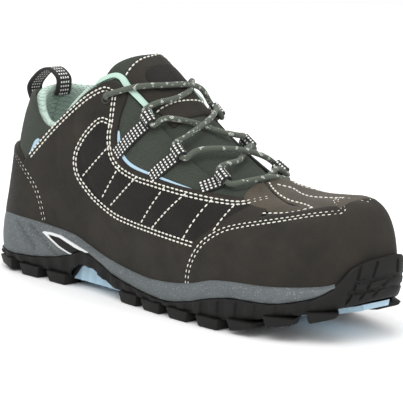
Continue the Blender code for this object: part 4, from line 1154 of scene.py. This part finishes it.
tongueLeather = {
    "arc": [(30, 0.366), (56, 0.364), (73, 0.364), (90, 0.361), (104, 0.356), (112, 0.362), (150, 0.366)],
    "arcRow": [
        (0.369, 54), (0.370, 62), (0.370, 73.5), (0.367, 90), (0.361, 103.5), (0.368, 112), (0.372, 124),
    ],
    "lowRow": [(0.468, 58), (0.475, 70), (0.479, 89), (0.479, 103), (0.473, 118)],
    "low": 0.512,
    "out": -0.0014,
    "inside": -0.0026,
    "cut": -0.0016,
    "aboveThroat": 0.0016,
    "badge": (0.423, 88.0, 0.0085, 0.0175, 3.0),  # share, angle, reach along, reach round, power
    "badgeHigh": 0.0006,
    "badgeDeep": 0.0004,
}


def makeTonguePatch():
    out = tongueLeather["out"]
    edge = sideOutline(topline) + (0, tongueLeather["aboveThroat"])
    inThroat = sideField(np.vstack([edge, [corner(0.76, 2.2)], [corner(-0.2, 2.2)]]), tongueLeather["cut"])
    arc = curveOf(tongueLeather["arc"], 1)

    def field(patch):
        along = np.minimum(patch["a"] - arc(patch["b"]), tongueLeather["low"] - patch["a"]) * last["length"]
        return np.minimum(along, inThroat(patch))

    patch = keepInside(makePatch(lastShares(0.30, 0.54), lastAngles(30, 150), lastPoint), field)
    patch = splitAlong(patch, field(patch) - 0.0008)
    lines = []
    for rows in (tongueLeather["arcRow"], tongueLeather["lowRow"]):
        lines.append(evenLine(lastPoint(*smoothLine(rows).T, out), stitchRows["step"]))
    patch = finerAlong(patch, lines, panelLook["reaches"], out)
    rows = linesAway(spots(patch, out), lines)
    outer = out - 0.0005 * rounding(field(patch), 0.0010) - 0.0002 * dent(rows, stitchRows["furrowWidth"])
    thicken("tonguePatch", patch, outer, tongueLeather["inside"], [finishes["leather"]],
            ["tongue_patch"])
    addStitches("tonguePatchStitches", lines)
    badge = makePatch(lastShares(0.37, 0.47, 0.0008), lastAngles(50, 130, 0.5), lastPoint)
    badge = keepInside(badge, badgeField)
    outer = out + tongueLeather["badgeHigh"] * (1 - rounding(badgeField(badge), 0.0009))
    inner = out - tongueLeather["badgeDeep"]
    thicken("tongueBadge", badge, outer, inner, [finishes["darkLeather"]])


def badgeField(patch):
    share, angle, along, around, power = tongueLeather["badge"]
    middle = aroundAt(np.array([share]), np.array([angle]))[0]
    u = np.abs(patch["a"] - share) * last["length"] / along
    v = np.abs(aroundAt(patch["a"], patch["b"]) - middle) / around
    return (1 - (u**power + v**power) ** (1 / power)) * along


# thin pale blue edges that show beside the leather, each between an upper and a lower line
blueThroat = [
    (0.400, 0.890), (0.408, 0.830), (0.420, 0.780), (0.436, 0.748), (0.462, 0.726), (0.492, 0.713),
    (0.522, 0.705), (0.566, 0.688), (0.606, 0.671), (0.640, 0.652),
]
blueThroatLow = [
    (0.392, 0.900), (0.395, 0.800), (0.412, 0.735), (0.450, 0.695), (0.522, 0.672), (0.588, 0.655),
    (0.645, 0.640),
]
blueHeel = [(0.114, 0.605), (0.121, 0.640), (0.131, 0.692), (0.140, 0.737), (0.146, 0.755)]
blueHeelLow = [(0.124, 0.600), (0.150, 0.690), (0.158, 0.770)]
blueEdge = {"top": 0.0008, "inside": 0.0001, "drop": 0.0004, "dropWidth": 0.0008}


def makeSliver(name, rows, below, side):
    field = sideField(np.vstack([sideOutline(rows), sideOutline(below)[::-1]]))
    angles = lastAngles(0, 90) if side < 0 else lastAngles(90, 180)
    patch = keepInside(makePatch(lastShares(0.0, 0.70), angles, lastPoint), field)
    outer = blueEdge["top"] - blueEdge["drop"] * rounding(field(patch), blueEdge["dropWidth"])
    thicken(name, patch, outer, blueEdge["inside"], [finishes["skyBlue"]])


throatEdge = {  # soft mint binding along the throat's edge, an open half ring with a thick wall
    "from": 0.29,
    "to": 0.48,
    "step": 0.0012,
    "depth": -0.0012,
    "out": 0.0024,
    "up": 0.0026,
    "lift": 0.0002,
    "turns": (-20, 200, 15),
    "inside": 0.55,
    "fade": 6,
    "least": 0.15,
}


def makeBinding(name, side):
    rows = [row for row in topline if throatEdge["from"] < row[0] < throatEdge["to"]]
    flat = evenLine(sideOutline(rows), throatEdge["step"])
    share, angle = fromSide(flat[:, 0], flat[:, 1], side, 0.0)
    middle, out = lastPoint(share, angle, throatEdge["depth"]), outAt(share, angle)
    up = np.cross(out, unitRows(np.gradient(middle, axis=0)))
    up *= np.sign(up[:, 2:])
    order = np.arange(len(flat))
    ends = np.clip(np.minimum(order, order[::-1]) / throatEdge["fade"], throatEdge["least"], 1)
    turns = np.radians(np.linspace(*throatEdge["turns"]))
    points = []
    for p, o, u, full in zip(middle, out, up, ends):
        for reach, bends in ((full, turns), (full * throatEdge["inside"], turns[::-1])):
            for turn in bends:
                ray = o * math.cos(turn) * throatEdge["out"] + u * math.sin(turn) * throatEdge["up"]
                points.append(p + ray * reach + u * throatEdge["lift"])
    addMesh(name, points, tubeFaces(len(flat), 2 * len(turns)), [finishes["mint"]], sharp=70)


def makeEdges():
    for side, word in ((-1, "Lateral"), (1, "Medial")):
        makeSliver(f"throatSliver{word}", blueThroat, blueThroatLow, side)
        makeSliver(f"heelSliver{word}", blueHeel, blueHeelLow, side)
        makeBinding(f"throatBinding{word}", side)


makeUpper()
makeEdges()
makeToeCap()
makeCounter()
makeQuarters()
makeSaddle()
makeLining()
makeTonguePad()
makeTonguePatch()
print("upper, leather, lining and tongue made")

# the sole's side: a form over the distance round its outline and the rows of a profile
sideSteps = 900
sideShares = 0.5 - 0.5 * np.cos(np.linspace(0, math.pi, sideSteps))
roundShares = np.concatenate([sideShares, sideShares[-2::-1]])
roundSides = np.concatenate([-np.ones(sideSteps), np.ones(sideSteps - 1)])
roundRun = runAlong(edgePoint(roundShares, roundSides, 0.005, 0.02 + 0 * roundShares))
toeRun = roundRun[sideSteps - 1]


def shareRound(a):
    return np.interp(a, roundRun, roundShares)


def soleForm(profile, low, high):  # profile rows: place, out, level between low and high, rise
    out, level, rise = (curveOf(profile, column) for column in (1, 2, 3))

    def form(a, b, grow):
        share = shareRound(a)
        height = low(share) + (high(share) - low(share)) * level(b) + rise(b)
        return edgePoint(share, np.where(a <= toeRun, -1, 1), out(b) + grow, height)

    return form


def soleHeight(curve):
    def height(share):
        return curve(share) * last["sole"]

    return height


def roundUv(patch):
    return np.stack([patch["a"], spots(patch, 0.0)[:, 2]], -1)


midsoleShape = {
    "profile": [
        (0, 0.0008, 0.00, 0.0004), (1, 0.0040, 0.00, 0.0003), (2, 0.0047, 0.12, 0.0), (3, 0.0052, 0.38, 0.0),
        (4, 0.0048, 0.70, 0.0), (5, 0.0038, 0.92, 0.0), (6, 0.0030, 1.0, 0.0), (7, 0.0022, 1.0, 0.0004),
        (8, 0.0014, 1.0, -0.0006), (9, 0.0013, 0.6, 0.0),
    ],
    "inside": -0.0012,
    "end": 0.9555,
    "grooveDepth": 0.0014,
    "grooveWidth": 0.0011,
    "grooves": [[(0.106, 1.030), (0.183, 0.540)], [(0.145, 1.025), (0.257, 0.460)]],
}
outsoleShape = {
    "profile": [
        (0, -0.0100, 0.00, 0.0), (1, 0.0012, 0.00, 0.0), (2, 0.0030, 0.03, 0.0), (3, 0.0048, 0.25, 0.0),
        (4, 0.0056, 0.60, 0.0), (5, 0.0055, 0.90, 0.0), (6, 0.0046, 1.00, 0.0), (7, 0.0016, 1.00, -0.0003),
    ],
    "inside": -0.0010,
    "grooveDepth": 0.0013,
    "grooveWidth": 0.0010,
    "uprights": [(0.978, -1), (0.990, -1), (0.999, -1), (0.990, 1), (0.978, 1)],
    "level": [[(0.972, 0.880), (0.985, 0.890), (1.0, 0.930)], [(0.979, 1.060), (0.990, 1.075), (1.0, 1.130)]],
    "ribs": {"pitch": 0.0120, "deep": 0.0006, "end": 0.93, "sharp": 3, "from": 2, "rise": 1.5, "to": 6},
}
soleWall = {"step": 0.0011, "reaches": (0.0026, 0.0016), "full": 1.3}


def soleOutline(rows):
    points = np.array(rows) * (1.0, last["sole"])
    x = points[:, 0] * (last["length"] + 0.010) - 0.005 + leanAt(points[:, 0], points[:, 1])
    return np.stack([x, points[:, 1]], -1)


def roundLine(rows, side, out):  # line on the sole's side from rows of (share, share of the sole's height)
    flat = evenLine(smoothLine(np.array(rows) * (1.0, last["sole"])), 0.002)
    return edgePoint(flat[:, 0], side, out, flat[:, 1])


def layRound(name, shape, high, low, lines, field, look, nodes, ribs=None):
    # closed wall round the sole, with furrows along its lines
    steps = shape["profile"][-1][0]
    around = np.linspace(0, roundRun[-1], int(roundRun[-1] / soleWall["step"]))
    form = soleForm(shape["profile"], low, high)
    patch = keepInside(makePatch(around, np.linspace(0, steps, steps * 3 + 1), form), field)
    patch = finerAlong(patch, lines, soleWall["reaches"], 0.0)
    away = linesAway(spots(patch, 0.0), lines)
    outer = -shape["grooveDepth"] * np.clip(soleWall["full"] - (away / shape["grooveWidth"]) ** 2, 0, 1)
    if ribs is not None:
        outer = outer + ribs(patch)
    thicken(name, patch, outer, shape["inside"], [finishes[look]], nodes, uv=roundUv(patch))


def makeMidsole():
    def beforeEnd(patch):
        return midsoleShape["end"] - shareRound(patch["a"])

    lines = [roundLine(rows, side, 0.005) for rows in midsoleShape["grooves"] for side in (-1, 1)]
    layRound("midsoleCup", midsoleShape, soleHeight(rimAt), soleHeight(splitAt), lines, beforeEnd, "foam",
             ["midsole"])


windowTrim = {
    "outer": [
        (0.205, 0.880), (0.232, 0.895), (0.262, 0.882), (0.308, 0.795), (0.352, 0.712), (0.345, 0.690),
        (0.303, 0.560), (0.262, 0.662), (0.228, 0.790),
    ],
    "inner": [
        (0.224, 0.850), (0.262, 0.838), (0.305, 0.748), (0.336, 0.688), (0.302, 0.592), (0.262, 0.694),
        (0.236, 0.790),
    ],
    "step": 0.0009,
    "out": 0.0012,
    "round": 0.0005,
    "roundWidth": 0.0006,
    "inside": -0.0004,
    "inlay": 0.0004,
    "play": 0.0003,
}


def makeWindows():
    form = soleForm(midsoleShape["profile"][1:6], soleHeight(splitAt), soleHeight(rimAt))
    inOuter, inInner = (sideField(soleOutline(windowTrim[key]), 0.0) for key in ("outer", "inner"))

    def pastInner(patch):
        return -inInner(patch)

    def nearInner(patch):
        return inInner(patch) + windowTrim["play"]

    for side, word in ((-1, "Lateral"), (1, "Medial")):
        low, high = (0.05, toeRun * 0.5) if side < 0 else (toeRun * 1.5, roundRun[-1] - 0.05)
        around = np.linspace(low, high, int((high - low) / windowTrim["step"]))
        whole = keepInside(makePatch(around, np.linspace(1, 5, 26), form), inOuter)
        trim, inlay = keepInside(whole, pastInner), keepInside(whole, nearInner)
        edge = np.minimum(inOuter(trim), pastInner(trim))
        rise = windowTrim["out"] - windowTrim["round"] * rounding(edge, windowTrim["roundWidth"])
        thicken(f"sideWindow{word}", trim, rise, windowTrim["inside"], [finishes["trim"]],
                [f"side_window_{word.lower()}"], uv=roundUv(trim))
        thicken(f"windowInlay{word}", inlay, windowTrim["inlay"], windowTrim["inside"], [finishes["rubber"]],
                uv=roundUv(inlay))


archGap = [
    (0.285, -0.40), (0.286, 0.092), (0.291, 0.246), (0.300, 0.338), (0.319, 0.440), (0.341, 0.476),
    (0.365, 0.436), (0.398, 0.322), (0.438, 0.164), (0.455, -0.40),
]


def outsoleTop(share):  # the joint with the midsole, and the rim round the toe
    end = midsoleShape["end"]
    return (splitAt(share) * (share < end) + rimAt(share) * (share >= end)) * last["sole"]


def wallRibs(patch):  # shallow upright ribs on the wall between the lugs and the joint
    ribs, place = outsoleShape["ribs"], patch["b"]
    wave = np.cos(2 * math.pi * patch["a"] / ribs["pitch"])
    full = np.clip((place - ribs["from"]) / ribs["rise"], 0, 1) * np.clip(ribs["to"] - place, 0, 1)
    return ribs["deep"] * np.clip(wave * ribs["sharp"], -1, 1) * full * (shareRound(patch["a"]) < ribs["end"])


def makeOutsole():
    inGap = sideField(soleOutline(archGap), 0.0)

    def pastGap(patch):
        return -inGap(patch)

    lines = []
    for share, side in outsoleShape["uprights"]:
        lines.append(roundLine([(share + 0.004, 1.36), (share, 1.05), (share - 0.008, 0.72)], side, 0.0050))
    lines += [roundLine(rows, side, 0.0055) for side in (-1, 1) for rows in outsoleShape["level"]]
    layRound("outsoleWall", outsoleShape, outsoleTop, soleHeight(bodyAt), lines, pastGap, "rubber",
             ["outsole"], wallRibs)


slab = {"step": 0.0025, "columns": 13, "gap": (0.285, 0.450), "rise": 0.0002, "below": 0.0006, "out": 0.0010}


def makeSlab():
    gapTop = curveOf([(0.284, 0.0), *archGap[1:-1], (0.448, 0.0)], 1)
    across = np.linspace(0, 1, slab["columns"])[:, None]
    rows = []
    for share in lastShares(0.0, 1.0, slab["step"]):
        inGap = slab["gap"][0] < share < slab["gap"][1]
        low = max(bodyAt(share), gapTop(share) if inGap else 0.0) * last["sole"] + slab["rise"]
        high = min(splitAt(share), seatAt(share)) * last["sole"] - slab["below"]
        lateral, medial = (edgePoint(share, side, slab["out"], np.array((low, high))) for side in (-1, 1))
        rows.append(medial[0] * (1 - across) + lateral[0] * across)
        rows.append(lateral[1] * (1 - across) + medial[1] * across)
    faces = tubeFaces(len(rows) // 2, 2 * slab["columns"], capped=False)
    addMesh("outsoleSlab", np.vstack(rows), faces, [finishes["rubber"]])


lugs = {
    "side": [0.093, 0.177, 0.258, 0.480, 0.553, 0.632, 0.713, 0.793, 0.870, 0.940],
    "inner": [  # share along, share across, turn
        (0.012, 0.0, 90), (0.075, 0.0, 0), (0.150, 0.0, 0), (0.225, 0.0, 0), (0.520, -0.13, 24),
        (0.520, 0.14, -24), (0.605, -0.15, 24), (0.605, 0.15, -24), (0.690, -0.16, 24), (0.690, 0.18, -24),
    ],
    "bottom": [
        (-0.015, 0.150), (0.060, 0.075), (0.135, 0.000), (0.734, 0.000), (0.785, 0.056), (0.847, 0.188),
        (0.942, 0.362), (1.036, 0.688),
    ],
    "size": (0.0175, 0.0150),
    "innerSize": (0.0130, 0.0170),
    "taper": 0.78,
    "sideTaper": 0.85,
    "out": 0.0066,
    "root": 0.0010,
    "bevel": 0.0011,
}
blockFaces = ((3, 2, 1, 0), (4, 5, 6, 7), (0, 1, 5, 4), (1, 2, 6, 5), (2, 3, 7, 6), (3, 0, 4, 7))


def edgeFrame(share, side, grow, height):  # a point on the sole's edge, the way along it and the way in
    ahead, behind = (edgePoint(min(max(share + d, 0.0), 1.0), side, grow, height) for d in (0.02, -0.02))
    run = ahead - behind
    run[2] = 0
    run = unitRows(run)
    return edgePoint(share, side, grow, height), run, np.array((run[1], -run[0], 0)) * side


def lugRings(share, side, across=0.0, turn=0.0):  # four points at the tread and four in the sole
    top = bodyAt(share) * last["sole"] + lugs["root"]
    length, width = lugs["size"] if side else lugs["innerSize"]
    if side:
        edge, run, inward = edgeFrame(share, side, lugs["out"], top)
        middle = edge + inward * width / 2
    else:
        middle = np.array((share * last["length"], (swingAt(share) + across) * last["ballWidth"], float(top)))
        run = np.array((math.cos(math.radians(turn)), math.sin(math.radians(turn)), 0.0))
        inward = np.array((-run[1], run[0], 0.0))
    rings = []
    for along, aside in ((lugs["taper"], lugs["sideTaper"]), (1.0, 1.0)):
        reach, wide = run * length * along / 2, inward * width * aside / 2
        rings.append([middle + x * reach + y * wide for x, y in ((-1, -1), (1, -1), (1, 1), (-1, 1))])
    bottom = curveOf(lugs["bottom"], 1)
    for point in rings[0]:
        point[2] = bottom(point[0] / last["length"]) * last["sole"]
    return rings


def makeLugs():
    blocks = [lugRings(share, side) for share in lugs["side"] for side in (-1, 1)]
    blocks += [lugRings(share, 0, across, turn) for share, across, turn in lugs["inner"]]
    shape = bmesh.new()
    for low, high in blocks:
        verts = [shape.verts.new(point) for point in [*low, *high]]
        for face in blockFaces:
            shape.faces.new([verts[i] for i in face])
    bmesh.ops.recalc_face_normals(shape, faces=shape.faces)
    bmesh.ops.bevel(shape, geom=shape.edges[:], offset=lugs["bevel"], segments=2, profile=0.6, affect="EDGES")
    bmesh.ops.triangulate(shape, faces=shape.faces)
    points = np.array([vert.co for vert in shape.verts])
    shape.verts.index_update()
    faces = [[vert.index for vert in face.verts] for face in shape.faces]
    shape.free()
    addMesh("treadLugs", points, faces, [finishes["rubber"]], sharp=50)


archFace = {
    "bottom": 0.0042,
    "below": 0.0004,
    "gap": 0.0006,
    "from": 0.0262,
    "to": -0.0008,
    "ribs": 7,
    "deep": 0.0006,
    "step": 0.0007,
}


def makeArchFace():  # ribbed ends of the blue arch plate, inside each side of the gap
    rim = soleOutline(archGap[1:-1])
    rim = rim[rim[:, 1] > archFace["bottom"] - 0.002]
    rim[:, 1] = np.maximum(rim[:, 1] - archFace["gap"], archFace["bottom"])
    rim = evenLine(rim, archFace["step"])
    width, floor = rim[-1][0] - rim[0][0], archFace["bottom"] - archFace["below"]
    for side, word in ((-1, "Lateral"), (1, "Medial")):
        points = []
        for x, z in rim:
            share = min(max(x / last["length"], 0.0), 1.0)
            wave = abs(math.sin(math.pi * archFace["ribs"] * (x - rim[0][0]) / width))
            near = side * archFace["from"]
            far = edgePoint(share, side, archFace["to"], z)[1] - side * archFace["deep"] * wave
            points += [(x, far, z), (x, near, z), (x, near, floor), (x, far, floor)]
        faces = tubeFaces(len(rim), 4, turned=side < 0)
        addMesh(f"archFace{word}", points, faces, [finishes["blue"]], sharp=25)


insole = {"step": 0.003, "columns": 25, "in": -0.0029, "thick": 0.0040, "dish": 0.0006, "fill": 0.9}


def makeInsole():
    shares = lastShares(0.0, 1.0, insole["step"])
    across = np.linspace(0, 1, insole["columns"])
    points = []
    for share in shares:
        seat = seatAt(share) * last["sole"]
        edges = [edgePoint(share, side, insole["in"], seat) for side in (-1, 1)]
        line = edges[0] * (1 - across[:, None]) + edges[1] * across[:, None]
        top = line.copy()
        top[:, 2] += insole["thick"] - insole["dish"] * np.sin(across * math.pi)
        points += [top, line[::-1]]
    points = np.vstack(points)
    faces = tubeFaces(len(shares), 2 * insole["columns"], turned=True, capped=False)
    uv = points[:, :2]
    item = addMesh("insolePad", points, faces, [finishes["insole"]], ["insole"], uv=uv)


# webbing and lace
webbing = {
    "width": 0.0080,
    "thick": 0.0012,
    "lift": 0.0014,
    "laceRadius": 0.0016,
    "lacePlay": 0.0007,
    "turns": [-90, -60, -30, 0, 30, 60, 90, 120, 150, 180, 205],
    "edges": (0.0002, 0.0006, 0.0014),
    "edgeThick": 0.8,
}
laceLoops = [(0.405, 0.765, 0.4725, 0.954), (0.513, 0.682, 0.560, 0.809), (0.632, 0.664, 0.659, 0.702)]


def ribbonMesh(name, path, across, width, thick, nodes):
    path, across = np.asarray(path), np.asarray(across)
    run = unitRows(np.gradient(path, axis=0))
    across = unitRows(across - run * (across * run).sum(axis=1, keepdims=True))
    up = np.cross(run, across)
    half, flat = width / 2, thick / 2
    first, second, third = webbing["edges"]
    ends = [(half - second, -flat), (half - first, -flat * webbing["edgeThick"])]
    under = [(-x, z) for x, z in ends[::-1]]
    under += [(x, -flat) for x in np.linspace(-half + third, half - third, 5)] + ends
    shape = [(-half, 0), *under, (half, 0), *((-x, -z) for x, z in under)]
    points, uv = [], []
    for p, wide, high, far in zip(path, across, up, runAlong(path)):
        points += [p + wide * x + high * z for x, z in shape]
        uv += [(far, x) for x, _ in shape]
    faces = tubeFaces(len(path), len(shape))
    addMesh(name, points, faces, [finishes["webbing"]], nodes, uv=uv, sharp=60)


def loopRing(row, side):  # the lace's place in a loop, the loop's own directions there and its radius
    height = row[3] * last["collar"]
    share = np.array(row[2])
    angle = angleAt(share, height, side)
    top = lastPoint(share, angle, webbing["lift"])
    under = angleAt(share - 0.02, height - 0.057 * last["collar"], side)
    below = lastPoint(share - 0.02, under, webbing["lift"])
    run = unitRows(top - below)
    normal = outAt(share, angle)
    normal = unitRows(normal - run * (normal @ run))
    radius = webbing["laceRadius"] + webbing["lacePlay"] + webbing["thick"] / 2
    return top + normal * radius, run, normal, np.cross(run, normal), radius


def makeLaceLoops():
    for side, word in ((-1, "lateral"), (1, "medial")):
        for number, row in enumerate(laceLoops, 1):
            middle, run, normal, wide, radius = loopRing(row, side)
            path, lay = [], []
            for t in np.arange(6) / 6:
                share = np.array(row[0] * (1 - t) + row[2] * t)
                height = (row[1] * (1 - t) + row[3] * t) * last["collar"]
                angle = angleAt(share, height, side)
                path.append(lastPoint(share, angle, webbing["lift"]))
                lay.append(np.cross(run, outAt(share, angle)))
            for turn in np.radians(webbing["turns"]):
                path.append(middle + run * math.cos(turn) * radius + normal * math.sin(turn) * radius)
                lay.append(wide)
            path, lay = (softened(smoothLine(rows, 5), 4) for rows in (path, lay))
            ribbonMesh(f"laceLoop{word.capitalize()}{number}", path, lay, webbing["width"], webbing["thick"],
                       [f"lace_loop_{word}_{number}"])


laceRun = {
    "radius": 0.0016,
    "sides": 14,
    "step": 0.0009,
    "around": 0.0108,
    "straight": (-0.0065, -0.0022, 0.0022, 0.0065),
    "slot": (0.712, 76),
    "slotLift": 0.0012,
    "endLifts": (0.0038, 0.0006),
}
# where each crossing runs from slot to eyelet: share, angle, lift. -1 is the strand of the lateral slot
laceWays = {
    -1: [
        [(0.704, 88, 0.0030), (0.684, 102, 0.0040)],
        [(0.645, 103, 0.0042), (0.628, 90, 0.0036), (0.605, 72, 0.0034), (0.586, 60, 0.0040)],
        [
            (0.555, 60, 0.0042), (0.556, 69, 0.0038), (0.545, 85, 0.0034),
            (0.518, 105, 0.0030), (0.490, 118, 0.0038),
        ],
        [
            (0.461, 112, 0.0038), (0.463, 92, 0.0034), (0.453, 73, 0.0026),
            (0.423, 57, 0.0032), (0.391, 48.5, 0.0040),
        ],
    ],
    1: [
        [(0.716, 84, 0.0030), (0.701, 68, 0.0040)],
        [(0.645, 70, 0.0040), (0.638, 82, 0.0006), (0.610, 101, 0.0006), (0.588, 116, 0.0034)],
        [
            (0.575, 112, 0.0038), (0.577, 95, 0.0022), (0.556, 86, 0.0002),
            (0.535, 76, 0.0004), (0.500, 58, 0.0036),
        ],
        [
            (0.471, 60, 0.0034), (0.476, 68, 0.0014), (0.473, 80, -0.0002), (0.462, 98, 0.0002),
            (0.425, 118, 0.0028), (0.385, 131, 0.0040),
        ],
    ],
}


def laceStrand(firstSide):
    start = laceRun["slot"][1] if firstSide < 0 else 180 - laceRun["slot"][1]
    points = [lastPoint(np.array(laceRun["slot"][0]), start, laceRun["slotLift"])]
    side = -firstSide
    for way, row in zip(laceWays[firstSide], reversed(laceLoops)):
        middle, _, _, wide, _ = loopRing(row, side)
        points += [lastPoint(np.array(s), a, lift) for s, a, lift in way]
        along = wide if (middle - points[-1]) @ wide > 0 else -wide
        points += [middle + along * reach for reach in laceRun["straight"]]
        side = -side
    points += [lastPoint(np.array(s), a, lift) for s, a, lift in laceWays[firstSide][3]]
    return points + [eyeletPlace(side, lift) for lift in laceRun["endLifts"]]


def tubeMesh(path):
    path = softened(evenLine(smoothLine(path, 6), laceRun["step"]), 14)
    run = unitRows(np.gradient(path, axis=0))
    sides = laceRun["sides"]
    side = np.cross(run[0], (0, 0, 1.0))
    points, uv = [], []
    for i, (p, ahead) in enumerate(zip(path, run)):
        side = unitRows(side - ahead * (side @ ahead))
        up = np.cross(ahead, side)
        for j in range(sides + 1):
            turn = 2 * math.pi * j / sides
            points.append(p + (side * math.cos(turn) + up * math.sin(turn)) * laceRun["radius"])
            uv.append((i * laceRun["step"], j / sides * laceRun["around"]))
    return points, uv, tubeFaces(len(path), sides + 1, capped=False, around=sides)


def makeLace():
    points, uv, faces = [], [], []
    sides = laceRun["sides"]
    for side in (-1, 1):
        more, moreUv, moreFaces = tubeMesh(laceStrand(side))
        start, end = len(points), len(points) + len(more) - sides - 1
        faces += [tuple(start + i for i in face) for face in moreFaces]
        faces += [tuple(range(start, start + sides))[::-1], tuple(range(end, end + sides))]
        points += more
        uv += moreUv
    addMesh("laceCord", points, faces, [finishes["braid"]], ["laces"], uv=uv, sharp=80)


pullLoop = {
    "path": [
        (0.0348, 0.800), (0.0345, 0.835), (0.0300, 0.880), (0.0146, 0.935), (0.0084, 0.988), (0.0220, 1.040),
        (0.0467, 1.090), (0.0730, 1.105), (0.0985, 1.065), (0.1005, 1.010), (0.0957, 0.965),
    ],
    "width": 0.0115,
    "thick": 0.0018,
}


def makePullLoop():
    flat = sideOutline(pullLoop["path"])
    path = np.stack([flat[:, 0], 0 * flat[:, 0], flat[:, 1]], -1)
    across = np.tile((0.0, 1.0, 0.0), (len(path), 1))
    ribbonMesh("pullLoop", path, across, pullLoop["width"], pullLoop["thick"], ["pull_loop"])


eyeletRing = {"lift": 0.0019, "ring": 0.0030, "thick": 0.0008, "high": 0.0006, "around": 32, "steps": 12}


def makeEyelets():  # a plain ring round each top eyelet
    around, steps = eyeletRing["around"], eyeletRing["steps"]
    for side, word in ((-1, "Lateral"), (1, "Medial")):
        share = np.array(eyeletSpot["share"])
        out = outAt(share, angleAt(share, eyeletSpot["height"] * last["collar"], side))
        first = unitRows(np.cross(out, (0, 0, 1.0)))
        second, middle = np.cross(out, first), eyeletPlace(side, eyeletRing["lift"])
        points, faces = [], []
        for i in range(around):
            turn = 2 * math.pi * i / around
            ray = first * math.cos(turn) + second * math.sin(turn)
            low, high = i * steps, (i + 1) % around * steps
            for j, bend in enumerate(np.linspace(0, 2 * math.pi, steps, endpoint=False)):
                reach = eyeletRing["ring"] + eyeletRing["thick"] * math.cos(bend)
                points.append(middle + ray * reach + out * eyeletRing["high"] * math.sin(bend))
                k = (j + 1) % steps
                faces.append((low + j, low + k, high + k, high + j))
        addMesh(f"eyeletRing{word}", points, faces, [finishes["eyelet"]], sharp=80)


makeMidsole()
makeWindows()
makeOutsole()
makeSlab()
makeLugs()
makeArchFace()
makeInsole()
makeLaceLoops()
makeLace()
makePullLoop()
makeEyelets()
for name in ("arch_plate", "tread_insert"):
    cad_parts[name].data.materials.clear()
    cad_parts[name].data.materials.append(finishes["blue"])
print("sole, webbing and lace made")
